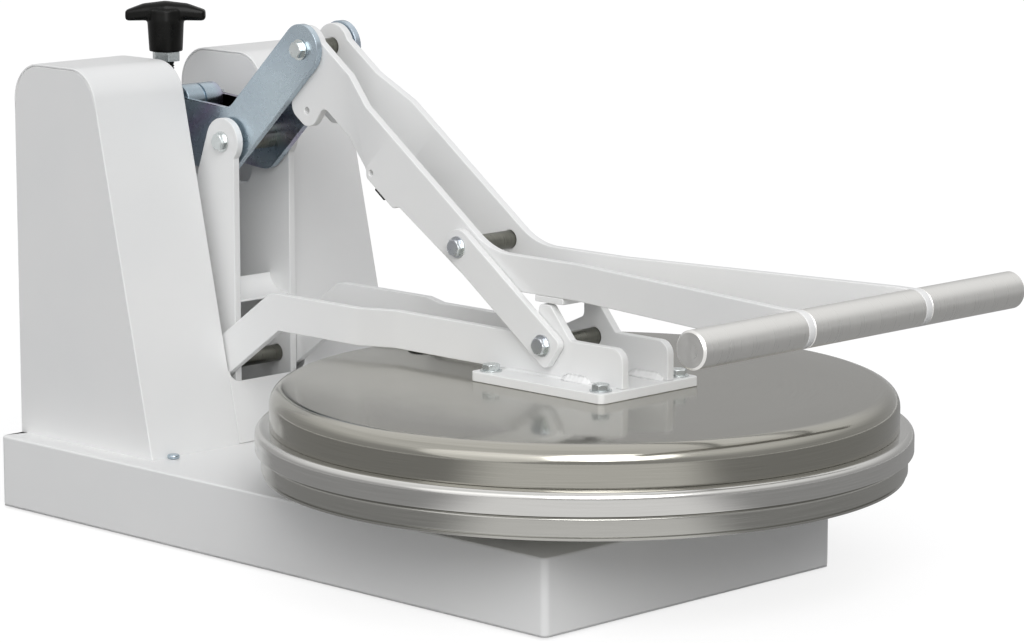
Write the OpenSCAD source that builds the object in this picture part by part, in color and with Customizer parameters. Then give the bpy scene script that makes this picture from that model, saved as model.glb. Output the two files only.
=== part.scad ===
// Manual dough press: a toggle handle closes a round upper platen on a fixed lower one.
// The origin is at floor level under the middle of the base. +X is the operator's right,
// the operator stands on the -Y side and +Z is up. All lengths are in millimetres.

/* [Base] */
// Width of the base pan
base_w = 289; // [260:1:340]
// Length of the base pan, front to back
base_l = 573; // [560:1:640]
// Height of the base pan's top above the floor
base_h = 55.6; // [40:0.1:80]
// Gap under the pan's lower edge
pan_gap = 2; // [1:0.5:6]
// Sheet thickness of the pan and its bottom
pan_t = 2; // [1:0.5:4]
// Radius of the pan's upright corners
pan_r = 5; // [4:0.5:12]
// Height of a rubber foot
foot_h = 10; // [7:1:20]
// Diameter of a rubber foot
foot_d = 34; // [20:1:50]
// Distance of a foot's centre from the pan's sides
foot_inset = 34; // [28:1:60]

/* [Towers] */
// Distance of a tower's outer side from the base's side
tower_inset = 20.1; // [18:0.1:45]
// Width of the slot between the towers
slot_w = 78; // [78:0.5:84]
// Height of the towers above the base
tower_h = 281.3; // [270:0.1:320]
// Depth of a tower at its foot
tower_d = 153; // [146:1:158]
// Set-back of the raked front from foot to top
tower_rake = 64; // [50:1:70]
// Radius of the top's front and rear edges
tower_r = 28; // [15:1:32]
// Sheet thickness of the covers
cover_t = 1.6; // [1:0.1:2.5]
// Height of the apron under the slot
apron_h = 46.5; // [35:0.5:48]
// Radius of the slot's lower corners
slot_r = 9; // [5:0.5:14]
// Height of the panel behind the slot
rear_panel_h = 190; // [120:1:200]
// Head diameter of a cover screw
cover_screw_d = 9; // [6:0.5:11]

/* [Uprights] */
// Thickness of an upright
upright_t = 6; // [5:0.2:6.2]
// Distance of an upright's front edge ahead of the crank pivot
upright_lead = 13; // [10:0.5:15]
// Radius of an upright's round head
upright_head_r = 17.5; // [16:0.5:20]
// Length of an upright at its foot
upright_l = 124; // [122:1:132]
// Thickness of the plate under the uprights
sole_t = 6; // [4:0.5:10]
// Height of the cross tie
tie_h = 15; // [8:1:25]
// Depth of the cross tie
tie_d = 22; // [10:1:30]

/* [Pivots] */
// Distance of the crank pivot behind the base's middle
crank_y = 160; // [156:0.5:164]
// Height of the crank pivot above the base
crank_rise = 223.9; // [215:0.1:235]
// Distance of the rear lever pivot behind the base's middle
rear_y = 163; // [161:0.5:166]
// Height of the rear lever pivot above the base
rear_rise = 57.4; // [56:0.1:60]
// Forward reach of the crank from its pivot to the handle pivot
crank_fwd = 77.5; // [72:0.5:84]
// Upward reach of the crank from its pivot to the handle pivot
crank_up = 73.5; // [68:0.5:80]
// Length of the handle arms between their pivots
toggle_len = 214; // [206:1:222]
// Length of the link between its pivots
link_len = 102; // [96:1:106]
// Fall of the arms and the link from the handle pivot, in degrees
toggle_drop = 35.7; // [35:0.1:36.4]
// Diameter of every pivot shaft
pivot_d = 12.7; // [10:0.1:14]

/* [Plates] */
// Thickness of the handle arms and levers
arm_t = 6.4; // [5:0.1:6.5]
// Thickness of a crank plate
crank_t = 5; // [4:0.1:5.2]
// Thickness of the link
link_t = 6; // [4:0.1:8]
// Gap between the handle arms at the crank
head_gap = 20.2; // [18:0.2:22]
// Gap between the uprights
upright_gap = 49.2; // [48:0.2:50]
// Gap between the handle arms, and between the ears, at the link
ear_gap = 39; // [36:0.5:44]
// Side gap between plates that move past each other
side_gap = 0.5; // [0.3:0.05:0.6]

/* [Crank] */
// Half width of the crank plates along the forward reach
crank_hw = 18.5; // [16:0.5:22]
// Radius of the inner corner between the crank's two reaches
crank_fillet = 14; // [6:1:18]
// Height of a crank plate's rear end above the crank pivot
crank_rear_up = 31.5; // [28:0.5:36]
// Depth of a crank plate's rear end below the crank pivot
crank_rear_down = 16; // [12:0.5:20]
// Length of a crank plate behind the screw
crank_tail = 15; // [12:0.5:18]
// Diameter of the spacer tube
spacer_d = 24; // [18:0.5:26]
// Distance of the spacer tube behind the crank pivot
spacer_back = 64; // [58:1:68]
// Height of the spacer tube above the crank pivot
spacer_up = 24; // [20:0.5:27]

/* [Adjuster] */
// Distance of the screw behind the base's middle
screw_y = 258; // [254:0.5:260]
// Diameter of the screw
screw_d = 12.7; // [10:0.1:14]
// Height of the trunnion above the crank pivot
trunnion_up = 3.5; // [0:0.5:6]
// Diameter of the trunnion
trunnion_d = 22; // [20:0.5:26]
// Height of the cross bar that the screw stands in
bar_h = 22; // [14:1:30]
// Depth of the cross bar
bar_d = 26; // [22:1:28]
// Height of the cross bar's top above the base
bar_top_h = 180; // [160:1:188]
// Height of the T-handle's lower end above the base
knob_rise = 281.8; // [278:0.2:300]
// Height of the T-handle
knob_h = 38.3; // [30:0.1:50]
// Length of the T-handle's cross bar
knob_l = 61; // [50:1:80]
// Diameter of the T-handle's hub at its lower end
knob_d = 25.4; // [22:0.2:30]
// Thickness of the jam nut
jam_h = 7.6; // [5:0.1:10]
// Width of the jam nut across its flats
jam_w = 19; // [18:0.5:24]

/* [Handle] */
// Distance of the grip bar ahead of the base's middle
grip_y = 428; // [420:1:440]
// Height of the grip bar above the base
grip_rise = 159; // [158:0.5:161]
// Diameter of the grip bar
grip_d = 25.4; // [22:0.2:26]
// Distance between the arms at the grip bar
grip_span = 118; // [100:1:140]
// Length of an outer grip
outer_grip_l = 99; // [70:1:130]
// Diameter of the rod through the grips
grip_rod_d = 12; // [8:0.5:16]
// Radius of the arms' upper ends
arm_head_r = 17.2; // [16:0.1:18]
// Width of the arms above the line between their pivots
arm_over = 14.5; // [13:0.5:16]
// Width of the arms below that line at the elbow, behind the link
arm_under = 17; // [15:0.5:18]
// Width of the arms below that line at their narrowest
arm_waist = 22; // [20:0.5:23]
// Width of the arms below that line at the pads that hold the stop
arm_pad = 27; // [25:0.5:30]
// Radius of the bend in the arms' upper edge
elbow_r = 55; // [20:1:80]
// Reach of the lobe under the arms' upper ends
lobe_reach = 47; // [42:0.5:50]
// Width of that lobe
lobe_w = 24; // [20:0.5:28]
// Width of the rubber stop between the pads
stop_w = 11; // [8:0.5:20]
// Depth of the rubber stop
stop_h = 8; // [5:0.5:12]
// Thickness of the rest bar under the arms
rest_t = 4.6; // [4:0.1:4.8]
// Depth of the rest bar
rest_d = 27; // [20:1:32]
// Length of the arms' bend from the crank gap to the ear gap
arm_jog = 27; // [22:1:34]
// Length of the arms' flare towards the grip bar
flare_l = 213; // [190:1:225]

/* [Link] */
// Width of the link
link_w = 25; // [22:0.5:26]
// Corner radius of the link's lower end
link_r = 5; // [2:0.5:8]

/* [Levers] */
// Width of a lever
lever_w = 27.5; // [25:0.5:28]
// Fall of a lever's rear end, in degrees
lever_drop = 35; // [33:0.5:37]
// Length of a lever's bend from the ear gap to the uprights' outside
lever_jog = 26; // [22:1:34]
// Distance of that bend's rear end ahead of the rear pivot
lever_jog_ahead = 157; // [148:1:160]
// Length of an ear ahead of its shaft
ear_fwd = 70; // [66:1:71]
// Height of an ear's post above the lever
post_h = 22.5; // [16:0.5:24]
// Width of the post's top
post_w = 11.5; // [9:0.5:16]
// Length of the slopes ahead of the post and behind it
post_ramp = 19; // [12:1:22]

/* [Platens] */
// Diameter of the upper platen
platen_d = 457.2; // [445:0.2:480]
// Diameter of the lower platen
lower_d = 449; // [430:1:456]
// Distance of the platens' middle ahead of the base's middle
platen_y = 183.5; // [180:0.5:190]
// Gap between the base and the lower platen
pedestal_h = 22.9; // [15:0.1:40]
// Diameter of the pedestal under the lower platen
pedestal_d = 200; // [150:1:260]
// Thickness of the lower platen
lower_t = 16; // [12:0.5:20]
// Gap between the closed platens
platen_gap = 0.8; // [0.6:0.1:3]
// Thickness of the upper platen
upper_t = 16; // [12:0.5:22]
// Diameter of the upper platen's cover
lid_d = 437; // [420:1:439]
// Height of the cover above the upper platen
lid_h = 27.8; // [24:0.1:36]
// Radius of the cover's upper edge
lid_r = 10; // [5:0.5:14]
// Sheet thickness of the cover
lid_t = 1.5; // [1:0.1:2.5]

/* [Bracket] */
// Width of the bracket plate
bracket_w = 98.5; // [94:0.5:110]
// Length of the bracket plate
bracket_l = 126; // [122:1:140]
// Thickness of the bracket plate
bracket_t = 7; // [6:0.5:12]
// Distance of a bracket bolt from the plate's sides
bracket_bolt_in = 10.5; // [9.5:0.5:11]
// Shank diameter of a bracket bolt
bolt_d = 8; // [6:0.5:9]
// Width of a bolt head across its flats
bolt_w = 12.7; // [11:0.1:14]
// Height of a bolt head
bolt_head = 5.3; // [4:0.1:5.4]
// Thickness of a washer
washer_t = 1; // [0.8:0.1:1.1]
// Diameter of a washer
washer_d = 17; // [15:0.5:18]

/* [Hidden] */
// Round surfaces are drawn with this many sides, and an outline's arcs with this many steps
$fn = 96;
hull_sides = 32;
arc_steps = 14;
hex_sides = 6;
// Radial running clearance of shafts, seat of fixed pieces and overrun of cuts
fit = 0.05;
seat = 0.2;
over = 1;
// Share of a half width that rounds a strip's end, just short of a full half circle
round_share = 0.985;

// Heights of the stack
pan_top = base_h;
tower_top = base_h + tower_h;
sole_top = base_h + sole_t;
lower_z = base_h + pedestal_h;
lower_top = lower_z + lower_t;
upper_z = lower_top + platen_gap;
upper_top = upper_z + upper_t;
lid_top = upper_top + lid_h;
bracket_top = lid_top + bracket_t;
lever_top = bracket_top + lever_w;

// Places of the pivots as [y, z]
drop_dir = [-cos(toggle_drop), -sin(toggle_drop)];
drop_up = [-sin(toggle_drop), cos(toggle_drop)];
crank_at = [crank_y, base_h + crank_rise];
rear_at = [rear_y, base_h + rear_rise];
head_at = crank_at + [-crank_fwd, crank_up];
toggle_at = head_at + toggle_len * drop_dir;
ear_at = head_at + (toggle_len + link_len) * drop_dir;
grip_at = [-grip_y, base_h + grip_rise];
trunnion_at = [screw_y, crank_at[1] + trunnion_up];
spacer_at = crank_at + [spacer_back, spacer_up];

// Half widths of the plates, from the middle outwards
arm_in = head_gap / 2;
crank_in = arm_in + arm_t + side_gap;
crank_out = crank_in + crank_t;
upright_in = upright_gap / 2;
upright_out = upright_in + upright_t;
lever_in = upright_out + side_gap;
lever_out = lever_in + arm_t;
ear_in = ear_gap / 2;
ear_out = ear_in + arm_t;
link_in = ear_out + side_gap;
link_out = link_in + link_t;
ring_in = (grip_span - arm_t) / 2;
ring_out = ring_in + arm_t;
grip_half = ring_out + outer_grip_l;
clip_t = 0.8;
clip_wall = 3;

// Outline of the towers
tower_back = base_l / 2;
tower_front = tower_back - tower_d;
rake_angle = atan(tower_rake / tower_h);
tower_w = (base_w - slot_w) / 2 - tower_inset;
tower_out = slot_w / 2 + tower_w;

// The uprights' foot runs back from their front edge
upright_front = crank_y - upright_lead;
upright_back = upright_front + upright_l;
bar_top = base_h + bar_top_h;
shoulder_rise = 4;
shoulder_z = bar_top + shoulder_rise;
tie_ahead = 2;
tie_rise = 46;

pivot_r = pivot_d / 2;
bolt_r = bolt_d / 2;
grip_r = grip_d / 2;
platen_r = platen_d / 2;
lower_r = lower_d / 2;

function unit(v) = v / norm(v);

// Points of one rounded corner b = [y, z, r] between its neighbours a and c
function corner_points(a, b, c) =
    let (
        p = [b[0], b[1]],
        u = unit([a[0], a[1]] - p),
        v = unit([c[0], c[1]] - p),
        half = acos(u * v) / 2,
        centre = p + unit(u + v) * b[2] / sin(half),
        first = p + u * b[2] / tan(half) - centre,
        last = p + v * b[2] / tan(half) - centre,
        start = atan2(first[1], first[0]),
        swing = atan2(last[1], last[0]) - start,
        turn = swing > 180 ? swing - 360 : swing < -180 ? swing + 360 : swing
    )
    [
        for (i = [0 : arc_steps])
            let (angle = start + turn * i / arc_steps)
            centre + b[2] * [cos(angle), sin(angle)]
    ];

// Points of a closed outline whose corners are [y, z] or, where rounded, [y, z, r]
function outline(c) = [
    for (i = [0 : len(c) - 1])
        each len(c[i]) == 3
            ? corner_points(c[(i + len(c) - 1) % len(c)], c[i], c[(i + 1) % len(c)])
            : [c[i]]
];

// A rounded corner at a place given as [y, z]
function rounded(p, r) = [p[0], p[1], r];

// Plate in the YZ plane between two values of x
module side_plate(x0, x1, points) {
    translate([x0, 0, 0])
        rotate([90, 0, 90])
            linear_extrude(x1 - x0)
                polygon(points);
}

// Round bar along X at a place given as [y, z]
module cross_bar(at, r, x0, x1) {
    translate([x0, at[0], at[1]])
        rotate([0, 90, 0])
            cylinder(r = r, h = x1 - x0);
}

// Bore along X through everything
module cross_bore(at, r) {
    cross_bar(at, r, -base_w, base_w);
}

// Washer and hexagon head that stand outwards along +X from x0
module cross_head(at, x0) {
    cross_bar(at, washer_d / 2, x0, x0 + washer_t);
    translate([x0 + washer_t, at[0], at[1]])
        rotate([0, 90, 0])
            cylinder(d = bolt_w / cos(180 / hex_sides), h = bolt_head, $fn = hex_sides);
}

// Shaft across the middle with a washer and a hexagon head at each end
module headed_shaft(at, half) {
    cross_bar(at, pivot_r, -half, half);
    for (side = [0, 1])
        mirror([side, 0, 0])
            cross_head(at, half);
}

// Block with rounded upright corners
module rounded_block(w, l, h, r) {
    linear_extrude(h)
        polygon(outline([[-w / 2, -l / 2, r], [w / 2, -l / 2, r], [w / 2, l / 2, r], [-w / 2, l / 2, r]]));
}

// Bolt places on the plate under the uprights
sole_bolt_x_share = 0.55;
sole_bolt_in = 20;
sole_bolts = [
    for (x = [-1, 1], y = [upright_front + sole_bolt_in, upright_back - sole_bolt_in])
        [x * sole_bolt_x_share * upright_in, y]
];

module base_pan() {
    color("whitesmoke")
    difference() {
        translate([0, 0, pan_gap])
            rounded_block(base_w, base_l, pan_top - pan_gap, pan_r);
        translate([0, 0, pan_gap - over])
            rounded_block(
                base_w - 2 * pan_t,
                base_l - 2 * pan_t,
                pan_top - pan_t - pan_gap + over,
                pan_r - pan_t
            );
        for (at = sole_bolts)
            translate([at[0], at[1], pan_top - pan_t - over])
                cylinder(r = bolt_r + seat, h = pan_t + 2 * over);
        for (at = cover_screws_at)
            translate([at[0], at[1], pan_top - pan_t - over])
                cylinder(d = cover_screw_d / 2 + 2 * fit, h = pan_t + 2 * over);
    }
}

module base_bottom() {
    color("dimgray")
    translate([0, 0, foot_h])
        rounded_block(base_w - 2 * (pan_t + seat), base_l - 2 * (pan_t + seat), pan_t, pan_r - pan_t);
}

foot_taper_share = 0.86;

// Four feet near the corners and one under the middle of the long sheet
feet_at = concat(
    [[0, 0]],
    [for (x = [-1, 1], y = [-1, 1]) [x * (base_w / 2 - foot_inset), y * (base_l / 2 - foot_inset)]]
);

module rubber_feet() {
    color("black")
    for (at = feet_at)
        translate([at[0], at[1], 0])
            cylinder(d1 = foot_taper_share * foot_d, d2 = foot_d, h = foot_h);
}

// Side view of a tower, shrunk on all but its foot by a wall
function tower_side(wall, foot) =
    let (
        shift = wall / cos(rake_angle),
        front_at_foot = tower_front + shift - tower_rake * foot / tower_h,
        front_at_top = tower_front + shift + tower_rake * (tower_h - wall) / tower_h
    )
    outline([
        [front_at_foot, base_h - foot],
        [front_at_top, tower_top - wall, tower_r - wall],
        [tower_back - wall, tower_top - wall, tower_r - wall],
        [tower_back - wall, base_h - foot]
    ]);

module right_tower() {
    color("whitesmoke")
    difference() {
        side_plate(slot_w / 2, tower_out, tower_side(0, 0));
        side_plate(slot_w / 2 + cover_t, tower_out - cover_t, tower_side(cover_t, over));
    }
}

module left_tower() {
    mirror([1, 0, 0])
        right_tower();
}

// Screws that stand on the pan, just ahead of the covers' feet
cover_screw_l = 8;
cover_screw_head_share = 0.36;
cover_screw_side_share = 0.81;
cover_screws_at = [
    for (side = [-1, 1])
        [side * (slot_w / 2 + cover_screw_side_share * tower_w), tower_front - cover_screw_d / 2 - seat]
];

module cover_screws() {
    color("silver")
    for (at = cover_screws_at) {
        translate([at[0], at[1], base_h])
            cylinder(d = cover_screw_d, h = cover_screw_head_share * cover_screw_d);
        translate([at[0], at[1], base_h - cover_screw_l])
            cylinder(d = cover_screw_d / 2, h = cover_screw_l);
    }
}

apron_tab = 1;

module front_apron() {
    color("whitesmoke")
    translate([0, tower_front, base_h])
        rotate([90 - rake_angle, 0, 0])
            translate([0, 0, -cover_t])
                linear_extrude(cover_t)
                    polygon(outline([
                        [-slot_w / 2, cover_t * tan(rake_angle)],
                        [slot_w / 2, cover_t * tan(rake_angle)],
                        [slot_w / 2, apron_h + slot_r],
                        [slot_w / 2 - apron_tab, apron_h + slot_r],
                        [slot_w / 2 - apron_tab, apron_h, slot_r],
                        [apron_tab - slot_w / 2, apron_h, slot_r],
                        [apron_tab - slot_w / 2, apron_h + slot_r],
                        [-slot_w / 2, apron_h + slot_r]
                    ]));
}

module rear_panel() {
    color("whitesmoke")
    translate([-slot_w / 2, tower_back - cover_t, base_h])
        cube([slot_w, cover_t, rear_panel_h]);
}

// The upright is cut straight in front, leans back behind its head and steps out over the cross bar
upright_lean = 20;
upright_shoulder_r = 8;
upright_points = outline([
    [upright_front, sole_top],
    [upright_front, crank_at[1]],
    [crank_y, crank_at[1]],
    [crank_y + upright_head_r * cos(upright_lean), crank_at[1] + upright_head_r * sin(upright_lean)],
    [
        crank_y + upright_head_r * cos(upright_lean)
            + (crank_at[1] + upright_head_r * sin(upright_lean) - shoulder_z) * tan(upright_lean),
        shoulder_z,
        upright_shoulder_r
    ],
    [upright_back, shoulder_z, upright_shoulder_r],
    [upright_back, sole_top]
]);

module right_upright() {
    color("whitesmoke")
    difference() {
        union() {
            side_plate(upright_in, upright_out, upright_points);
            cross_bar(crank_at, upright_head_r, upright_in, upright_out);
        }
        cross_bore(crank_at, pivot_r + fit);
        cross_bore(rear_at, pivot_r + fit);
    }
}

module left_upright() {
    mirror([1, 0, 0])
        right_upright();
}

module upright_foot() {
    color("whitesmoke")
    difference() {
        translate([-upright_out, upright_front, base_h])
            cube([2 * upright_out, upright_l, sole_t]);
        for (at = sole_bolts)
            translate([at[0], at[1], base_h - over])
                cylinder(r = bolt_r + seat, h = sole_t + 2 * over);
    }
}

// Hexagon bolt that points down from z, without its washer
module down_bolt(x, y, z, length) {
    translate([x, y, z])
        cylinder(d = bolt_w / cos(180 / hex_sides), h = bolt_head, $fn = hex_sides);
    translate([x, y, z - length])
        cylinder(r = bolt_r, h = length);
}

sole_bolt_tail = 8;

module upright_bolts() {
    color("silver")
    for (at = sole_bolts)
        down_bolt(at[0], at[1], sole_top, sole_t + pan_t + sole_bolt_tail);
}

module upright_tie() {
    color("whitesmoke")
    translate([-upright_in, upright_front + tie_ahead, rear_at[1] + tie_rise])
        cube([2 * upright_in, tie_d, tie_h]);
}

journal_share = 0.7;

module adjuster_bar() {
    color("gray")
    difference() {
        translate([-upright_in, screw_y - bar_d / 2, bar_top - bar_h])
            cube([2 * upright_in, bar_d, bar_h]);
        translate([0, screw_y, bar_top - bar_h - over])
            cylinder(d = journal_share * screw_d + 2 * fit, h = bar_h + 2 * over);
    }
}

// Shaft with a collar on each side, between the crank and the upright
module crank_shaft() {
    color("silver") {
        headed_shaft(crank_at, upright_out + seat);
        for (side = [0, 1])
            mirror([side, 0, 0])
                cross_bar(crank_at, washer_d / 2, crank_out + side_gap, upright_in - fit);
    }
}

module platen_pedestal() {
    color("gray")
    translate([0, -platen_y, base_h])
        cylinder(d = pedestal_d, h = pedestal_h);
}

// Half section of the lower platen: its rim, a groove and a thin lip under it
lower_edge = 1.5;
lower_lip = 2;
lower_groove = 1.5;
lower_groove_in = 3;

module lower_platen() {
    color("silver")
    translate([0, -platen_y, lower_z])
        rotate_extrude()
            polygon(outline([
                [0, 0],
                [lower_r - lower_groove_in / 2, 0],
                [lower_r - lower_groove_in / 2, lower_lip],
                [lower_r - lower_groove_in, lower_lip],
                [lower_r - lower_groove_in, lower_lip + lower_groove],
                [lower_r, lower_lip + lower_groove],
                [lower_r, lower_t, lower_edge],
                [0, lower_t]
            ]));
}

// Side view of a crank plate: round at the handle pivot, bent at its own pivot, square at the screw
crank_dir = unit(head_at - crank_at);
crank_side = [crank_dir[1], -crank_dir[0]];
crank_round = round_share * crank_hw;
crank_end_r = 12;
crank_notch_t = (spacer_up - crank_hw * crank_side[1]) / crank_dir[1];
crank_points = outline([
    rounded(head_at + crank_hw * (crank_dir + crank_side), crank_round),
    rounded(head_at + crank_hw * (crank_dir - crank_side), crank_round),
    rounded(crank_at - crank_hw * (crank_dir + crank_side), crank_round),
    [screw_y + crank_tail, crank_at[1] - crank_rear_down, crank_end_r],
    [screw_y + crank_tail, crank_at[1] + crank_rear_up, crank_end_r],
    rounded(crank_at + crank_hw * crank_side + crank_notch_t * crank_dir, crank_fillet)
]);
trunnion_pin_share = 0.55;

module right_crank() {
    color("lightsteelblue")
    difference() {
        side_plate(crank_in, crank_out, crank_points);
        cross_bore(crank_at, pivot_r + fit);
        cross_bore(head_at, pivot_r + fit);
        cross_bore(trunnion_at, trunnion_pin_share * trunnion_d / 2 + fit);
        cross_bore(spacer_at, bolt_r + fit);
    }
}

module left_crank() {
    mirror([1, 0, 0])
        right_crank();
}

// Spacer tube with a groove round its middle, on a bolt through both crank plates
spacer_groove = 1.2;
spacer_head_share = 0.7;

module crank_spacer() {
    color("lightsteelblue")
    for (side = [0, 1])
        mirror([side, 0, 0]) {
            cross_bar(spacer_at, spacer_d / 2, spacer_groove / 2, crank_in);
            cross_bar(spacer_at, spacer_d / 2 - spacer_groove, 0, spacer_groove / 2);
            cross_bar(spacer_at, bolt_r, 0, crank_out);
            translate([crank_out, spacer_at[0], spacer_at[1]])
                rotate([0, 90, 0])
                    cylinder(
                        d = bolt_w / cos(180 / hex_sides),
                        h = spacer_head_share * bolt_head,
                        $fn = hex_sides
                    );
        }
}

module head_shaft() {
    color("silver")
    headed_shaft(head_at, crank_out + seat);
}

// Trunnion with a journal in each crank plate and a free hole for the screw
screw_free = 0.35;

module trunnion() {
    color("silver")
    difference() {
        union() {
            cross_bar(trunnion_at, trunnion_d / 2, side_gap - crank_in, crank_in - side_gap);
            cross_bar(trunnion_at, trunnion_pin_share * trunnion_d / 2, -crank_out, crank_out);
        }
        translate([0, screw_y, trunnion_at[1] - trunnion_d])
            cylinder(r = screw_d / 2 + screw_free, h = 2 * trunnion_d);
    }
}

// Screw that stands on the cross bar, with a journal through it and a clip under it
screw_clip_t = 2;
screw_in_knob = 16;
knob_z = base_h + knob_rise;

module adjusting_screw() {
    color("black")
    translate([0, screw_y, 0]) {
        translate([0, 0, bar_top + seat])
            cylinder(d = screw_d, h = knob_z + screw_in_knob - bar_top - seat);
        translate([0, 0, bar_top - bar_h - seat])
            cylinder(d = journal_share * screw_d, h = bar_h + 2 * seat);
        translate([0, 0, bar_top - bar_h - seat - screw_clip_t])
            cylinder(d = screw_d, h = screw_clip_t);
    }
}

module jam_nut() {
    color("gray")
    translate([0, screw_y, knob_z - jam_h])
        difference() {
            cylinder(d = jam_w / cos(180 / hex_sides), h = jam_h, $fn = hex_sides);
            translate([0, 0, -over])
                cylinder(r = screw_d / 2 + fit, h = jam_h + 2 * over);
        }
}

// T-handle: a hub that widens upwards and a flat-bottomed cross bar with an arched top and blunt ends
knob_turn = -45;
knob_flare_share = 1.1;
knob_mid_r = 7.5;
knob_shoulder_r = 6.6;
knob_shoulder_share = 0.5;
knob_edge_r = 2.6;
knob_end_w = 12;
knob_end_h = 8.6;
knob_dome_share = 0.22;
knob_under = knob_h - 2 * knob_mid_r;
knob_shoulder_x = knob_shoulder_share * knob_l / 2;
knob_end_x = knob_l / 2 - knob_edge_r;
knob_end_y = knob_end_w / 2 - knob_edge_r;

module t_handle() {
    color("black")
    translate([0, screw_y, knob_z])
        rotate([0, 0, knob_turn])
            difference() {
                union() {
                    cylinder(d1 = knob_d, d2 = knob_flare_share * knob_d, h = knob_under);
                    translate([0, 0, knob_under])
                        cylinder(d1 = knob_flare_share * knob_d, d2 = knob_d, h = knob_dome_share * knob_h);
                    for (side = [-1, 1])
                        hull() {
                            translate([0, 0, knob_under + knob_mid_r])
                                sphere(r = knob_mid_r, $fn = hull_sides);
                            translate([side * knob_shoulder_x, 0, knob_under + knob_shoulder_r])
                                sphere(r = knob_shoulder_r, $fn = hull_sides);
                            for (y = [-1, 1], z = [knob_edge_r, knob_end_h - knob_edge_r])
                                translate([side * knob_end_x, y * knob_end_y, knob_under + z])
                                    sphere(r = knob_edge_r, $fn = hull_sides);
                        }
                }
                translate([0, 0, -over])
                    cylinder(r = screw_d / 2 + fit, h = screw_in_knob + over + seat);
            }
}

// Point of a handle arm given along and across the line between its pivots
function arm_at(along, across) = head_at + along * drop_dir + across * drop_up;

// Length along an arm at which a line parallel to its pivots reaches a height
function arm_reach(across, z) = (head_at[1] + across * drop_up[1] - z) / sin(toggle_drop);

// Side view of a handle arm without its round head: elbow, strip as wide as the grip bar, pad and lobe
lobe_lead = 15;
lobe_r = 11;
lobe_heel_share = 0.7;
arm_corner_r = 12;
pad_at = 127;
pad_l = 42;
pad_slope = 4;
pad_r = 4;
arm_points = outline([
    head_at + arm_over * drop_up,
    rounded(arm_at(arm_reach(arm_over, grip_at[1] + grip_r), arm_over), elbow_r),
    rounded(grip_at + [-grip_r, grip_r], round_share * grip_r),
    rounded(grip_at + [-grip_r, -grip_r], round_share * grip_r),
    rounded(arm_at(arm_reach(-arm_under, grip_at[1] - grip_r), -arm_under), arm_corner_r),
    rounded(arm_at(pad_at + pad_l / 2, -arm_waist), pad_r),
    rounded(arm_at(pad_at + pad_l / 2 - pad_slope, -arm_pad), pad_r),
    rounded(arm_at(pad_at - pad_l / 2 + pad_slope, -arm_pad), pad_r),
    rounded(arm_at(pad_at - pad_l / 2, -arm_waist), pad_r),
    rounded(arm_at(lobe_lead + lobe_w, -arm_waist), lobe_r / 2),
    rounded(arm_at(lobe_lead + lobe_w, -lobe_reach), lobe_r),
    rounded(arm_at(lobe_lead, -lobe_reach), lobe_r),
    arm_at(-lobe_heel_share * arm_head_r, -lobe_heel_share * arm_head_r)
]);

// Side view of the rubber stop, which stands a little out of the pads
stop_proud = 2.4;
stop_points = [
    arm_at(pad_at - stop_w / 2, -arm_pad - stop_proud),
    arm_at(pad_at + stop_w / 2, -arm_pad - stop_proud),
    arm_at(pad_at + stop_w / 2, stop_h - arm_pad - stop_proud),
    arm_at(pad_at - stop_w / 2, stop_h - arm_pad - stop_proud)
];

// Top view of a right-hand handle arm: parallel at the crank, bent out to the ears, flared to the grip bar
arm_jog_ahead = 46;
ring_flat = 15;
arm_jog_y = head_at[0] - arm_jog_ahead;
arm_path = [
    [arm_in, head_at[0] + 2 * lobe_reach],
    [arm_in, arm_jog_y],
    [ear_in, arm_jog_y - arm_jog],
    [ear_in, grip_at[0] + ring_flat + flare_l],
    [ring_in, grip_at[0] + ring_flat],
    [ring_in, grip_at[0] - grip_d]
];

// Area between a path and its copy moved along X
function strip(path, w) = concat(path, [for (i = [len(path) - 1 : -1 : 0]) path[i] + [w, 0]]);

lobe_hole_d = 5;
pad_hole_d = 4;
pad_hole_in = 15;

module right_arm() {
    color("whitesmoke")
    difference() {
        union() {
            intersection() {
                side_plate(0, grip_half, arm_points);
                translate([0, 0, base_h])
                    linear_extrude(tower_h + base_l)
                        polygon(strip(arm_path, arm_t));
            }
            cross_bar(head_at, arm_head_r, arm_in, arm_in + arm_t);
        }
        cross_bore(head_at, pivot_r + fit);
        cross_bore(toggle_at, pivot_r + fit);
        cross_bore(grip_at, grip_rod_d / 2 + fit);
        cross_bore(arm_at(lobe_lead + lobe_w / 2, lobe_r - lobe_reach), lobe_hole_d / 2);
        cross_bore(arm_at(pad_at - pad_hole_in, pad_slope - arm_pad + pad_hole_d / 2), pad_hole_d / 2);
    }
}

module left_arm() {
    mirror([1, 0, 0])
        right_arm();
}

// Grip with a bevelled outer end
grip_bevel = 1.5;

module middle_grip() {
    color("silver")
    difference() {
        cross_bar(grip_at, grip_r, -ring_in, ring_in);
        cross_bore(grip_at, grip_rod_d / 2 + fit);
    }
}

module right_grip() {
    color("silver")
    translate([ring_out, grip_at[0], grip_at[1]])
        rotate([0, 90, 0])
            difference() {
                union() {
                    cylinder(r = grip_r, h = outer_grip_l - grip_bevel);
                    translate([0, 0, outer_grip_l - grip_bevel])
                        cylinder(r1 = grip_r, r2 = grip_r - grip_bevel, h = grip_bevel);
                }
                translate([0, 0, -over])
                    cylinder(d = grip_rod_d + 2 * fit, h = outer_grip_l / 2 + over);
            }
}

module left_grip() {
    mirror([1, 0, 0])
        right_grip();
}

grip_rod_reach = ring_out + outer_grip_l / 2 - seat;

module grip_rod() {
    color("gray")
    cross_bar(grip_at, grip_rod_d / 2, -grip_rod_reach, grip_rod_reach);
}

// Shaft between the handle arms, flush with the left one and headed on the right one
module toggle_shaft() {
    color("dimgray") {
        cross_bar(toggle_at, pivot_r, -ear_out, ear_out + seat);
        cross_head(toggle_at, ear_out + seat);
    }
}

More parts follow.
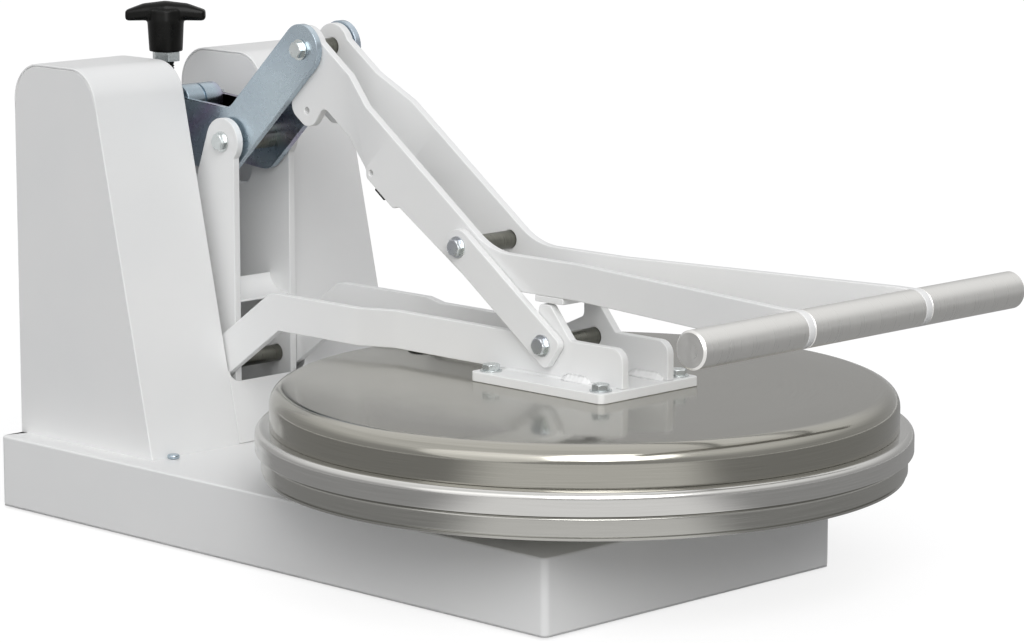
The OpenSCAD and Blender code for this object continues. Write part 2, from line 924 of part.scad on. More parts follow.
module arm_stop() {
    color("black")
    side_plate(fit - ear_in, ear_in - fit, stop_points);
}

// Flat bar across the arms' undersides, which comes down on the posts of the ears
rest_top = grip_at[1] - grip_r;
rest_ahead = 13.4;

module rest_bar() {
    color("whitesmoke")
    translate([-ear_out, ear_at[0] - rest_ahead, rest_top - rest_t])
        cube([2 * ear_out, rest_d, rest_t]);
}

// Link: a strip along the line between its pivots, round at its upper end and square at its lower one
function link_corner(along, across, r) =
    rounded(toggle_at + along * drop_dir + across * drop_up, r);

link_round = round_share * link_w / 2;
link_points = outline([
    link_corner(-link_w / 2, link_w / 2, link_round),
    link_corner(link_len + link_w / 2, link_w / 2, link_r),
    link_corner(link_len + link_w / 2, -link_w / 2, link_r),
    link_corner(-link_w / 2, -link_w / 2, link_round)
]);

module toggle_link() {
    color("whitesmoke")
    difference() {
        side_plate(-link_out, -link_in, link_points);
        cross_bore(toggle_at, pivot_r + fit);
        cross_bore(ear_at, pivot_r + fit);
    }
}

// Bolt at the link's upper end, flush with the link's inner face
module link_bolt() {
    color("silver")
    mirror([1, 0, 0]) {
        cross_bar(toggle_at, pivot_r, link_in, link_out);
        cross_head(toggle_at, link_out);
    }
}

module rear_shaft() {
    color("dimgray")
    cross_bar(rear_at, pivot_r, -lever_out - seat - clip_t, lever_out + seat + clip_t);
}

module shaft_clips() {
    color("gray")
    for (side = [0, 1])
        mirror([side, 0, 0])
            difference() {
                cross_bar(rear_at, pivot_r + clip_wall, lever_out + seat, lever_out + seat + clip_t);
                cross_bore(rear_at, pivot_r + fit);
            }
}

// Side view of a lever: round rear end, fall, knee, straight bar on the bracket, ear with its post
lever_hw = lever_w / 2;
lever_back = [cos(lever_drop), -sin(lever_drop)];
lever_side = [sin(lever_drop), cos(lever_drop)];
lever_mid = bracket_top + lever_hw;
lever_knee = [rear_at[0] - (lever_mid - rear_at[1]) / tan(lever_drop), lever_mid];
lever_bend = [lever_hw * tan(lever_drop / 2), lever_hw];
lever_round = round_share * lever_hw;
knee_top_r = 16;
knee_low_r = 4;
ear_r = 10;
post_r = 4;
post_back = 10;
post_front = post_w - post_back;
post_step_share = 0.38;
lever_points = outline([
    rounded(rear_at + lever_hw * (lever_back + lever_side), lever_round),
    rounded(rear_at + lever_hw * (lever_back - lever_side), lever_round),
    rounded(lever_knee - lever_bend, knee_low_r),
    [ear_at[0] - ear_fwd, bracket_top],
    [ear_at[0] - ear_fwd, lever_top, ear_r],
    [ear_at[0] - post_front - post_ramp, lever_top, post_r],
    [ear_at[0] - post_front, lever_top + post_h, post_r],
    [ear_at[0] + post_back, lever_top + post_h, post_r],
    [ear_at[0] + post_back, lever_top + post_step_share * post_h, post_r],
    [ear_at[0] + post_back + post_ramp, lever_top, post_r],
    rounded(lever_knee + lever_bend, knee_top_r)
]);

// Top view of a right-hand lever: outside the uprights at the rear, in line with the handle arms in front
lever_jog_y = rear_y - lever_jog_ahead;
lever_path = [
    [lever_in, rear_y + lever_w],
    [lever_in, lever_jog_y],
    [ear_in, lever_jog_y - lever_jog],
    [ear_in, ear_at[0] - 2 * ear_fwd]
];

module right_lever() {
    color("whitesmoke")
    difference() {
        intersection() {
            side_plate(0, base_w, lever_points);
            translate([0, 0, base_h])
                linear_extrude(tower_h)
                    polygon(strip(lever_path, arm_t));
        }
        cross_bore(rear_at, pivot_r + fit);
        cross_bore(ear_at, pivot_r + fit);
    }
}

module left_lever() {
    mirror([1, 0, 0])
        right_lever();
}

// Shaft through the ears and the link, headed at both ends
module ear_shaft() {
    color("dimgray") {
        cross_bar(ear_at, pivot_r, -link_out - seat, ear_out + seat);
        cross_head(ear_at, ear_out + seat);
        mirror([1, 0, 0])
            cross_head(ear_at, link_out + seat);
    }
}

// Bracket bolt places
bracket_bolts_at = [
    for (x = [-1, 1], y = [-1, 1])
        [x * (bracket_w / 2 - bracket_bolt_in), y * (bracket_l / 2 - bracket_bolt_in) - platen_y]
];

// Bores for the bracket bolts over a span of heights
module bracket_bores(z0, z1) {
    for (at = bracket_bolts_at)
        translate([at[0], at[1], z0])
            cylinder(r = bolt_r + fit, h = z1 - z0);
}

bracket_r = 4;

module bracket_plate() {
    color("whitesmoke")
    difference() {
        translate([0, -platen_y, lid_top])
            rounded_block(bracket_w, bracket_l, bracket_t, bracket_r);
        bracket_bores(lid_top - over, bracket_top + over);
    }
}

module bracket_washers() {
    color("silver")
    for (at = bracket_bolts_at)
        translate([at[0], at[1], bracket_top])
            difference() {
                cylinder(d = washer_d, h = washer_t);
                translate([0, 0, -over])
                    cylinder(r = bolt_r + fit, h = washer_t + 2 * over);
            }
}

bracket_bolt_share = 0.6;

module bracket_bolts() {
    color("silver")
    for (at = bracket_bolts_at)
        down_bolt(at[0], at[1], bracket_top + washer_t, washer_t + bracket_t + bracket_bolt_share * lid_h);
}

module platen_cover() {
    color("darkkhaki")
    difference() {
        translate([0, -platen_y, upper_top])
            rotate_extrude()
                polygon(outline([
                    [0, lid_h],
                    [lid_d / 2, lid_h, lid_r],
                    [lid_d / 2, 0],
                    [lid_d / 2 - lid_t, 0],
                    [lid_d / 2 - lid_t, lid_h - lid_t, lid_r - lid_t],
                    [0, lid_h - lid_t]
                ]));
        bracket_bores(upper_top + lid_h / 2, lid_top + over);
    }
}

// Block under the bracket, between the cover and the platen, that the bolts are screwed into
block_side = 8;

module platen_block() {
    color("gray")
    difference() {
        translate([0, -platen_y, upper_top])
            rounded_block(bracket_w + 2 * block_side, bracket_l + 2 * block_side, lid_h - lid_t, bracket_r);
        bracket_bores(lid_top - (bracket_bolt_share * lid_h + seat), lid_top + over);
    }
}

upper_top_r = 5;
upper_edge = 1.2;

module upper_platen() {
    color("gainsboro")
    translate([0, -platen_y, upper_z])
        rotate_extrude()
            polygon(outline([
                [0, 0],
                [platen_r, 0, upper_edge],
                [platen_r, upper_t, upper_top_r],
                [0, upper_t]
            ]));
}

base_pan();
base_bottom();
rubber_feet();
left_tower();
right_tower();
front_apron();
rear_panel();
cover_screws();
left_upright();
right_upright();
upright_foot();
upright_bolts();
upright_tie();
adjuster_bar();
crank_shaft();
platen_pedestal();
lower_platen();
left_crank();
right_crank();
crank_spacer();
head_shaft();
trunnion();
adjusting_screw();
jam_nut();
t_handle();
left_arm();
right_arm();
left_grip();
middle_grip();
right_grip();
grip_rod();
toggle_shaft();
arm_stop();
rest_bar();
toggle_link();
link_bolt();
rear_shaft();
shaft_clips();
left_lever();
right_lever();
ear_shaft();
bracket_plate();
bracket_washers();
bracket_bolts();
platen_cover();
platen_block();
upper_platen();
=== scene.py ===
import math

import bmesh
import bpy
from mathutils import Matrix, Vector


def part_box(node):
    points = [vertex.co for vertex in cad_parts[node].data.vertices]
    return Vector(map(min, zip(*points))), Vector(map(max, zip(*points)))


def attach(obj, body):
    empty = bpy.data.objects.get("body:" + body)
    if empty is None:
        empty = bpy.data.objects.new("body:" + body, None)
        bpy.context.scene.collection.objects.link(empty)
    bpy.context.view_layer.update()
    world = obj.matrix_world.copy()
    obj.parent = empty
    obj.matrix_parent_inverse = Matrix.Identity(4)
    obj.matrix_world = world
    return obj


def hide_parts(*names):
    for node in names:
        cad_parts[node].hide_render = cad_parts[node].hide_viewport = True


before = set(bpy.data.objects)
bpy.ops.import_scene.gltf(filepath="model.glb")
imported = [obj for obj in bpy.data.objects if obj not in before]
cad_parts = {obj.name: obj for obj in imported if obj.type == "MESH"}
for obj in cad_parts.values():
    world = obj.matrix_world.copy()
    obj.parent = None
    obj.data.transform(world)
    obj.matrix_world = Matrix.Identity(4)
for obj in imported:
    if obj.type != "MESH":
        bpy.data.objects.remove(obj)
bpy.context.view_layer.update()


# ---- Camera ----
# A long lens on a stand to the operator's left, a little above the handle bar, as the photograph
# was taken. The press's lengths are in millimetres and become metres by MM. The camera's and the
# studio's are in metres.
MM = 0.001
scene = bpy.context.scene
view_place = Vector((-1.96208, -2.05737, 0.65845))
view_turn = math.radians(-45.26)
view_rise = math.radians(9.95)
view_back = Vector((
    math.sin(view_turn) * math.cos(view_rise),
    -math.cos(view_turn) * math.cos(view_rise),
    math.sin(view_rise),
))
view_right = (-view_back).cross(Vector((0, 0, 1))).normalized()
view_up = view_back.cross(view_right)
camera = bpy.data.objects.new("camera", bpy.data.cameras.new("camera"))
camera.data.lens = 140.0
camera.data.sensor_fit = "HORIZONTAL"
camera.data.sensor_width = 36.0
camera.data.clip_end = 100.0
camera.matrix_world = (
    Matrix.Translation(view_place) @ Matrix((view_right, view_up, view_back)).transposed().to_4x4())
scene.collection.objects.link(camera)
scene.camera = camera
scene.view_settings.view_transform = "Standard"


# ---- Studio ----
# A white paper floor, a soft even surround, a large soft box in front at the left, fills from the
# side and from above, and a small box near the linkage. Camera rays see plain white and the floor's
# shadow, and mirror rays see grey walls with white above them.
def linear(colour):
    """Linear RGBA of an sRGB hex colour."""
    parts = [int(colour[i:i + 2], 16) / 255 for i in (1, 3, 5)]
    return [p / 12.92 if p <= 0.04045 else ((p + 0.055) / 1.055) ** 2.4 for p in parts] + [1.0]


def add(tree, kind, feeds=None, **settings):
    """Add one node: settings are its properties, feeds give its inputs a value or an output."""
    made = tree.nodes.new(kind)
    for key, value in settings.items():
        setattr(made, key, value)
    for socket, value in (feeds or {}).items():
        if isinstance(value, bpy.types.NodeSocket):
            tree.links.new(value, made.inputs[socket])
        else:
            made.inputs[socket].default_value = value
    return made


def seen_directly(tree):
    """1 for camera, mirror and glass rays, 0 for the rays that light the object."""
    path = add(tree, "ShaderNodeLightPath")
    some = add(tree, "ShaderNodeMath", {0: path.outputs["Is Camera Ray"], 1: path.outputs["Is Glossy Ray"]},
               operation="MAXIMUM")
    return add(tree, "ShaderNodeMath", {0: some.outputs[0], 1: path.outputs["Is Transmission Ray"]},
               operation="MAXIMUM").outputs[0]


surround = bpy.data.worlds.new("white surround")
surround.use_nodes = True
scene.world = surround
tree = surround.node_tree
tree.nodes.clear()
glow = add(tree, "ShaderNodeBackground", {"Color": linear("#fdfdff"), "Strength": 0.50})
white = add(tree, "ShaderNodeBackground", {"Color": (1, 1, 1, 1), "Strength": 1.0})
both = add(tree, "ShaderNodeMixShader", {0: seen_directly(tree), 1: glow.outputs[0], 2: white.outputs[0]})
# Polished metal shows the studio's walls, grey near the horizon, and the white above them.
# Sockets 1 to 4 of a Map Range are the range that it takes and the range that it gives.
wall_low, wall_high, wall_grey = 0.20, 0.62, 0.50
rise = add(tree, "ShaderNodeSeparateXYZ", {0: add(tree, "ShaderNodeTexCoord").outputs["Generated"]})
wall = add(tree, "ShaderNodeMapRange", {0: rise.outputs[2], 1: wall_low, 2: wall_high, 3: wall_grey, 4: 1.0},
           interpolation_type="SMOOTHSTEP")
mirrored = add(tree, "ShaderNodeBackground", {"Color": (1, 1, 1, 1), "Strength": wall.outputs[0]})
shown = add(tree, "ShaderNodeMixShader", {
    0: add(tree, "ShaderNodeLightPath").outputs["Is Glossy Ray"], 1: both.outputs[0], 2: mirrored.outputs[0]})
add(tree, "ShaderNodeOutputWorld", {"Surface": shown.outputs[0]})

paper = bpy.data.materials.new("white paper")
paper.use_nodes = True
tree = paper.node_tree
tree.nodes.clear()
matt = add(tree, "ShaderNodeBsdfDiffuse", {"Color": linear("#949494")})
paper_lift = 0.78
lift = add(tree, "ShaderNodeMath", {0: seen_directly(tree), 1: paper_lift}, operation="MULTIPLY")
shine = add(tree, "ShaderNodeEmission", {"Color": (1, 1, 1, 1), "Strength": lift.outputs[0]})
both = add(tree, "ShaderNodeAddShader", {0: matt.outputs[0], 1: shine.outputs[0]})
add(tree, "ShaderNodeOutputMaterial", {"Surface": both.outputs[0]})
floor_half = 12.0
floor_mesh = bpy.data.meshes.new("floor")
floor_mesh.from_pydata(
    [(x * floor_half, y * floor_half, 0) for x, y in ((-1, -1), (1, -1), (1, 1), (-1, 1))],
    [], [(0, 1, 2, 3)])
floor_mesh.materials.append(paper)
floor = bpy.data.objects.new("floor", floor_mesh)
scene.collection.objects.link(floor)

for name, way, spread, strength in (
    ("soft box", (-0.44, -0.65, 0.62), 40, 1.4),
    ("side fill", (-0.88, -0.12, 0.45), 50, 0.42),
    ("top fill", (0.25, 0.35, 0.90), 60, 0.12),
):
    lamp = bpy.data.lights.new(name, "SUN")
    lamp.angle = math.radians(spread)
    lamp.energy = strength
    stand = bpy.data.objects.new(name, lamp)
    stand.matrix_world = Vector(way).to_track_quat("Z", "Y").to_matrix().to_4x4()
    scene.collection.objects.link(stand)

near_box = bpy.data.lights.new("near box", "AREA")
near_box.size = 0.5
near_box.energy = 2.4
stand = bpy.data.objects.new("near box", near_box)
near_place, near_aim = Vector((-0.95, -1.05, 0.75)), Vector((0.0, -0.08, 0.22))
stand.matrix_world = (
    Matrix.Translation(near_place) @ (near_place - near_aim).to_track_quat("Z", "Y").to_matrix().to_4x4())
scene.collection.objects.link(stand)

# Grey card on the floor round the press, with a gap in front: only polished metal sees it, as the
# dark table that its lower halves would reflect.
card_in, card_out, card_steps = 0.20, 4.0, 96
card_centre, card_front = Vector((0.0, -0.18, 0.002)), math.radians(-136.0)
gap_half, gap_end, gap_light, card_light = 0.07, 0.13, 0.98, 0.36
card_mesh = bpy.data.meshes.new("grey card")
card_spots = []
for i in range(card_steps + 1):
    angle = card_front + 2 * math.pi * i / card_steps
    ray = Vector((math.cos(angle), math.sin(angle), 0))
    card_spots += [card_centre + ray * card_in, card_centre + ray * card_out]
card_mesh.from_pydata(card_spots, [], [(2 * i, 2 * i + 1, 2 * i + 3, 2 * i + 2) for i in range(card_steps)])
card_uv = card_mesh.uv_layers.new(name="round")
for face in card_mesh.polygons:
    for loop in face.loop_indices:
        card_uv.data[loop].uv = (card_mesh.loops[loop].vertex_index // 2 / card_steps, 0.5)
grey_card = bpy.data.materials.new("grey card")
grey_card.use_nodes = True
tree = grey_card.node_tree
tree.nodes.clear()
way_round = add(tree, "ShaderNodeSeparateXYZ", {0: add(tree, "ShaderNodeUVMap", uv_map="round").outputs[0]})
from_front = add(tree, "ShaderNodeMath", {0: way_round.outputs[0], 1: 0.5}, operation="PINGPONG")
fade = add(tree, "ShaderNodeMapRange", {
    0: from_front.outputs[0], 1: gap_half, 2: gap_end, 3: gap_light, 4: card_light},
    interpolation_type="SMOOTHSTEP")
add(tree, "ShaderNodeOutputMaterial", {
    "Surface": add(tree, "ShaderNodeEmission", {"Strength": fade.outputs[0]}).outputs[0]})
card_mesh.materials.append(grey_card)
card = bpy.data.objects.new("grey card", card_mesh)
for kind in ("camera", "diffuse", "transmission", "volume_scatter", "shadow"):
    setattr(card, "visible_" + kind, False)
scene.collection.objects.link(card)


# ---- Base pan ----
# A shallow box folded from 2 mm steel sheet, its corners welded and ground, and powder coated in
# white. Everything else stands on it.
def new_piece(name, shape):
    """A new piece from a bmesh, which is used up."""
    mesh = bpy.data.meshes.new(name)
    shape.to_mesh(mesh)
    shape.free()
    piece = bpy.data.objects.new(name, mesh)
    scene.collection.objects.link(piece)
    return piece


def bake(piece):
    """Turn a piece's modifiers into its plain mesh."""
    graph = bpy.context.evaluated_depsgraph_get()
    mesh = bpy.data.meshes.new_from_object(
        piece.evaluated_get(graph), preserve_all_data_layers=True, depsgraph=graph)
    piece.modifiers.clear()
    piece.data = mesh
    return piece


def smooth(piece):
    """Shade all of a piece's faces smooth."""
    piece.data.polygons.foreach_set("use_smooth", [True] * len(piece.data.polygons))
    return piece


def flat_faces(piece):
    """Keep a piece's large faces flat to the light, and bake it."""
    flat = piece.modifiers.new("flat", "WEIGHTED_NORMAL")
    flat.keep_sharp = True
    return bake(piece)


def rounded_edges(piece, radius, steps=3, angle=38):
    """Round the edges of a piece that turn by more than an angle in degrees."""
    edge = smooth(piece).modifiers.new("edge", "BEVEL")
    edge.width = radius * MM
    edge.segments = steps
    edge.limit_method = "ANGLE"
    edge.angle_limit = math.radians(angle)
    edge.use_clamp_overlap = False
    edge.miter_outer = "MITER_ARC"
    return flat_faces(piece)


def solid_copy(name, *nodes, cuts=()):
    """One piece from copies of CAD nodes, their loose triangles merged into flat faces.

    Each cut is a bore's [y, z] and the normal of a plane there, which splits the faces across the bore,
    so that no face is left with a hole in it for the rounding to tear."""
    shape = bmesh.new()
    for node in nodes:
        shape.from_mesh(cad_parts[node].data)
    bmesh.ops.remove_doubles(shape, verts=shape.verts, dist=0.01 * MM)
    for (y, z), (ny, nz) in cuts:
        split = bmesh.ops.bisect_plane(
            shape, geom=shape.verts[:] + shape.edges[:] + shape.faces[:], dist=0.004 * MM,
            plane_co=(0, y * MM, z * MM), plane_no=(0, ny, nz))
        for part in split["geom_cut"]:
            if isinstance(part, bmesh.types.BMEdge):
                part.seam = True
    bmesh.ops.dissolve_limit(
        shape, angle_limit=math.radians(0.5), verts=shape.verts, edges=shape.edges, delimit={"SEAM"})
    return new_piece(name, shape)


def fit_piece(piece, material, body, slot, *nodes):
    """Give a piece its finish, and tell the frame what it rides on and stands for."""
    piece.data.materials.clear()
    piece.data.materials.append(material)
    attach(piece, body)
    if nodes:
        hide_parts(*nodes)
    return piece


def blank(name):
    """A new node material and its shader, with the output linked."""
    material = bpy.data.materials.new(name)
    material.use_nodes = True
    material.node_tree.nodes.clear()
    shader = material.node_tree.nodes.new("ShaderNodeBsdfPrincipled")
    add(material.node_tree, "ShaderNodeOutputMaterial", {"Surface": shader.outputs[0]})
    return material, material.node_tree, shader


def vary(tree, shader, noise, colours=None, rough=None, bump=None):
    """Let a noise vary a shader's colour, its roughness, or its skin by [strength, depth in mm].

    Sockets 6 and 7 of a Mix are its two colours, and most of a noise lies from 0.3 to 0.7."""
    level = noise.outputs[0]
    if colours:
        tone = add(tree, "ShaderNodeMix", {
            0: level, 6: linear(colours[0]), 7: linear(colours[1])}, data_type="RGBA")
        tree.links.new(tone.outputs[2], shader.inputs["Base Color"])
    if rough:
        gloss = add(tree, "ShaderNodeMapRange", {0: level, 1: 0.3, 2: 0.7, 3: rough[0], 4: rough[1]})
        tree.links.new(gloss.outputs[0], shader.inputs["Roughness"])
    if bump:
        skin = add(tree, "ShaderNodeBump", {"Strength": bump[0], "Distance": bump[1] * MM, "Height": level})
        tree.links.new(skin.outputs[0], shader.inputs["Normal"])


# Polyester powder coat, sprayed dry and baked: a clean white skin with a faint orange peel, whose
# cells of about 1 mm are drawn at 2 mm to show, and a cloudy drift of tone and gloss.
powder_coat, tree, shader = blank("white polyester powder coat")
peel_cell = 2.0
drift_cell = 70.0
place = add(tree, "ShaderNodeTexCoord").outputs["Object"]
drift = add(tree, "ShaderNodeTexNoise", {"Vector": place, "Scale": 1 / (drift_cell * MM), "Detail": 3.0})
peel = add(tree, "ShaderNodeTexNoise", {"Vector": place, "Scale": 1 / (peel_cell * MM), "Detail": 2.0})
vary(tree, shader, drift, ("#e3e4e4", "#e9e9e8"), (0.34, 0.42))
vary(tree, shader, peel, bump=(0.12, 0.05))

pan = rounded_edges(solid_copy("base_pan_folded", "base_pan"), 1.8)
fit_piece(pan, powder_coat, "frame", "white_paint", "base_pan")


# ---- Bottom sheet and feet ----
# A plain sheet closes the pan from below and carries moulded rubber feet, screwed on from inside.
# Moulded rubber: dull black with a fine grain left by the mould, drawn at 1.5 mm to show.
rubber, tree, shader = blank("moulded black rubber")
grain_cell = 1.5
place = add(tree, "ShaderNodeTexCoord").outputs["Object"]
grain = add(tree, "ShaderNodeTexNoise", {"Vector": place, "Scale": 1 / (grain_cell * MM), "Detail": 4.0})
vary(tree, shader, grain, ("#141414", "#262625"), bump=(0.3, 0.1))
shader.inputs["Roughness"].default_value = 0.75

feet = rounded_edges(solid_copy("feet_rubber", "rubber_feet"), 1.5)
fit_piece(feet, rubber, "frame", "rubber", "rubber_feet")

# Cold-rolled steel left bare: grey with long faint rolling marks, 0.4 mm apart and drawn at 1 mm.
bare_steel, tree, shader = blank("bare turned steel")
mark_pitch = 1.0
place = add(tree, "ShaderNodeTexCoord").outputs["Object"]
long_marks = add(tree, "ShaderNodeMapping", {"Vector": place, "Scale": (1.0, 0.08, 0.08)})
marks = add(tree, "ShaderNodeTexNoise", {
    "Vector": long_marks.outputs[0], "Scale": 1 / (mark_pitch * MM), "Detail": 3.0})
vary(tree, shader, marks, ("#66665f", "#86867e"), (0.26, 0.42))
shader.inputs["Metallic"].default_value = 1.0
bottom = solid_copy("bottom_sheet", "base_bottom")
fit_piece(rounded_edges(bottom, 0.4, 2), bare_steel, "frame", "dark_steel", "base_bottom")


# ---- Tower covers ----
# Two white sheet covers beside the linkage. Each is bent from one strip over front, top and back,
# and flat sides are let in under its top edge, where a fine seam stays.
foot_z, top_z = 55.6, 336.9
tower_x, tower_y = (39.0, 124.4), (133.5, 286.5)
tower_rake, tower_round, round_steps = 64.0, 28.0, 14
bend_r, bend_steps, seam_fade = 0.9, 8, 9.0


def arc(corner, before, after, radius, steps):
    """Points and outward normals of a rounded corner between two straight edges."""
    to_before = (before - corner).normalized()
    to_after = (after - corner).normalized()
    half = to_before.angle(to_after) / 2
    centre = corner + (to_before + to_after).normalized() * (radius / math.sin(half))
    first = corner + to_before * (radius / math.tan(half)) - centre
    swing = math.pi - 2 * half
    turn = -1 if first.cross(-to_before) < 0 else 1
    out = []
    for i in range(steps + 1):
        ray = Matrix.Rotation(turn * swing * i / steps, 2) @ first
        out.append((centre + ray, ray.normalized()))
    return out


front_foot = Vector((tower_y[0], foot_z))
front_top = Vector((tower_y[0] + tower_rake, top_z))
back_top = Vector((tower_y[1], top_z))
back_foot = Vector((tower_y[1], foot_z))
front_arc = arc(front_top, front_foot, back_top, tower_round, round_steps)
back_arc = arc(back_top, front_top, back_foot, tower_round, round_steps)
front_out = front_arc[0][1]
back_out = back_arc[-1][1]
down_front = (front_foot - front_arc[0][0]).normalized()
down_back = (back_foot - back_arc[-1][0]).normalized()
# The strip's path as [point, outward normal, share of the seam].
cover_path = [(front_foot, front_out, 0.0), (front_arc[0][0] + down_front * seam_fade, front_out, 0.0)]
cover_path += [(p, n, 1.0) for p, n in front_arc + back_arc]
cover_path += [(back_arc[-1][0] + down_back * seam_fade, back_out, 0.0), (back_foot, back_out, 0.0)]
# Edge profiles as [depth below the strip, depth below the side]: a plain bend, and a butted seam.
bend_turns = [math.pi / 2 * t / bend_steps for t in range(bend_steps + 1)]
bend_edge = [(bend_r * (1 - math.cos(turn)), bend_r * (1 - math.sin(turn))) for turn in bend_turns]
seam_edge = [
    (0.0, 1.3), (0.05, 0.6), (0.3, 0.15), (0.8, 0.0), (1.35, 0.05),
    (1.6, 0.5), (1.75, 1.1), (1.95, 0.45), (2.4, 0.0),
]


def tower_cover(name, side):
    """A cover on one side, -1 or 1: the strip's path with an edge profile along each of its edges."""
    shape = bmesh.new()
    grid = []
    for edge_x, inward in ((tower_x[0], 1), (tower_x[1], -1)):
        rows = []
        for point, normal, seam in cover_path:
            row = []
            for plain, butted in zip(bend_edge, seam_edge):
                depth = plain[0] + seam * (butted[0] - plain[0])
                inset = plain[1] + seam * (butted[1] - plain[1])
                spot = point - normal * depth
                x = side * (edge_x + inward * inset)
                row.append(shape.verts.new((x * MM, spot.x * MM, max(spot.y, foot_z) * MM)))
            rows.append(row)
        grid.append(rows)
    last = len(cover_path) - 1
    for i in range(last):
        shape.faces.new((grid[0][i][0], grid[0][i + 1][0], grid[1][i + 1][0], grid[1][i][0]))
        for rows in grid:
            for k in range(bend_steps):
                shape.faces.new((rows[i][k], rows[i][k + 1], rows[i + 1][k + 1], rows[i + 1][k]))
    for rows in grid:
        shape.faces.new([row[-1] for row in rows])
    shape.faces.new(grid[0][0][::-1] + grid[1][0] + grid[1][last][::-1] + grid[0][last])
    bmesh.ops.recalc_face_normals(shape, faces=shape.faces)
    piece = smooth(new_piece(name, shape))
    piece.data.set_sharp_from_angle(angle=math.radians(50))
    return flat_faces(piece)


for side, word in ((-1, "left"), (1, "right")):
    fit_piece(tower_cover(word + "_tower_cover", side), powder_coat, "frame", "white_paint", word + "_tower")


# ---- Apron and rear panel ----
# Two flat white sheets between the towers: a low one in front, rounded up into the covers' edges,
# and a tall one behind, both spot welded from inside.
for node in ("front_apron", "rear_panel"):
    sheet = rounded_edges(solid_copy(node + "_sheet", node), 0.5, 2)
    fit_piece(sheet, powder_coat, "frame", "white_paint", node)


# ---- Cover screws ----
# Two small pan-head screws with a cross recess hold each cover's front edge down on the pan.
# Bright zinc plate on steel, blue passivated: pale blue grey with drifting straw and violet tints.
zinc, tree, shader = blank("blue passivated zinc plate")
cloud_cell = 95.0
spangle_cell = 7.0
place = add(tree, "ShaderNodeTexCoord").outputs["Object"]
cloud = add(tree, "ShaderNodeTexNoise", {
    "Vector": place, "Scale": 1 / (cloud_cell * MM), "Detail": 1.2, "Distortion": 0.3})
tint = add(tree, "ShaderNodeValToRGB", {0: cloud.outputs[0]})
tint.color_ramp.elements[0].position = 0.30
tint.color_ramp.elements[0].color = linear("#94a2ab")
tint.color_ramp.elements[1].position = 0.72
tint.color_ramp.elements[1].color = linear("#bfccd4")
for position, colour in ((0.40, "#aab8c2"), (0.46, "#b0a9c0"), (0.54, "#b4c1cb")):
    tint.color_ramp.elements.new(position).color = linear(colour)
spangle = add(tree, "ShaderNodeTexNoise", {"Vector": place, "Scale": 1 / (spangle_cell * MM), "Detail": 1.5})
tree.links.new(tint.outputs[0], shader.inputs["Base Color"])
vary(tree, shader, spangle, rough=(0.25, 0.30), bump=(0.008, 0.05))
shader.inputs["Metallic"].default_value = 1.0

screws = rounded_edges(solid_copy("cover_screw_heads", "cover_screws"), 1.2, 4)
fit_piece(screws, zinc, "frame", "zinc", "cover_screws")


# ---- Uprights ----
# Two thick white plates stand in the slot on a bolted foot, laser cut, with broken edges, and carry
# the fixed pivots. The tie that holds them apart is pressed to a scoop. All are powder coated.
crank_at, rear_at = (160.0, 279.5), (163.0, 113.0)
for node in ("left_upright", "right_upright", "upright_foot"):
    cuts = [(crank_at, (0, 1)), (rear_at, (0, 1))] if node != "upright_foot" else []
    plate = rounded_edges(solid_copy(node + "_plate", node, cuts=cuts), 0.7)
    fit_piece(plate, powder_coat, "frame", "white_paint", node)


def add_bar(shape, ring, x0, x1):
    """Add a bar across the press to a bmesh, from x0 to x1, with a ring of [y, z] points."""
    ends = [[shape.verts.new((x * MM, y * MM, z * MM)) for y, z in ring] for x in (x0, x1)]
    for i in range(len(ring)):
        j = (i + 1) % len(ring)
        shape.faces.new((ends[0][i], ends[0][j], ends[1][j], ends[1][i]))
    for end in ends:
        shape.faces.new(end)


tie_low, tie_high = (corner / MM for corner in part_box("upright_tie"))
tie_lip, tie_steps = 1.6, 14
tie_ring = [(tie_high[1], tie_low[2]), (tie_low[1], tie_low[2])]
for i in range(tie_steps + 1):
    turn = math.radians(90 * i / tie_steps)
    tie_ring.append((
        tie_low[1] + (tie_high[1] - tie_lip - tie_low[1]) * math.sin(turn),
        tie_high[2] - (tie_high[2] - tie_lip - tie_low[2]) * math.cos(turn)))
tie_ring.append((tie_high[1], tie_high[2]))
shape = bmesh.new()
add_bar(shape, tie_ring, tie_low[0], tie_high[0])
bmesh.ops.recalc_face_normals(shape, faces=shape.faces)
tie = rounded_edges(new_piece("upright_tie_scoop", shape), 0.4)
fit_piece(tie, powder_coat, "frame", "white_paint", "upright_tie")


# ---- Thickness adjuster ----
# A cross bar and a trunnion of turned steel, a black screw with its locking nut, and a moulded
# T-handle on top. Turning the handle tips the crank plates.
for node, body in (("adjuster_bar", "frame"), ("trunnion", "trunnion")):
    steel = rounded_edges(solid_copy(node + "_turned", node), 0.6)
    fit_piece(steel, bare_steel, body, "dark_steel", node)

# Black oxide on steel, oiled: nearly black with a dull satin gloss.
black_oxide, tree, shader = blank("oiled black oxide")
blot_cell = 5.0
place = add(tree, "ShaderNodeTexCoord").outputs["Object"]
blot = add(tree, "ShaderNodeTexNoise", {"Vector": place, "Scale": 1 / (blot_cell * MM), "Detail": 4.0})
vary(tree, shader, blot, ("#1c1d1c", "#3a3b39"), (0.32, 0.5))
shader.inputs["Metallic"].default_value = 0.8


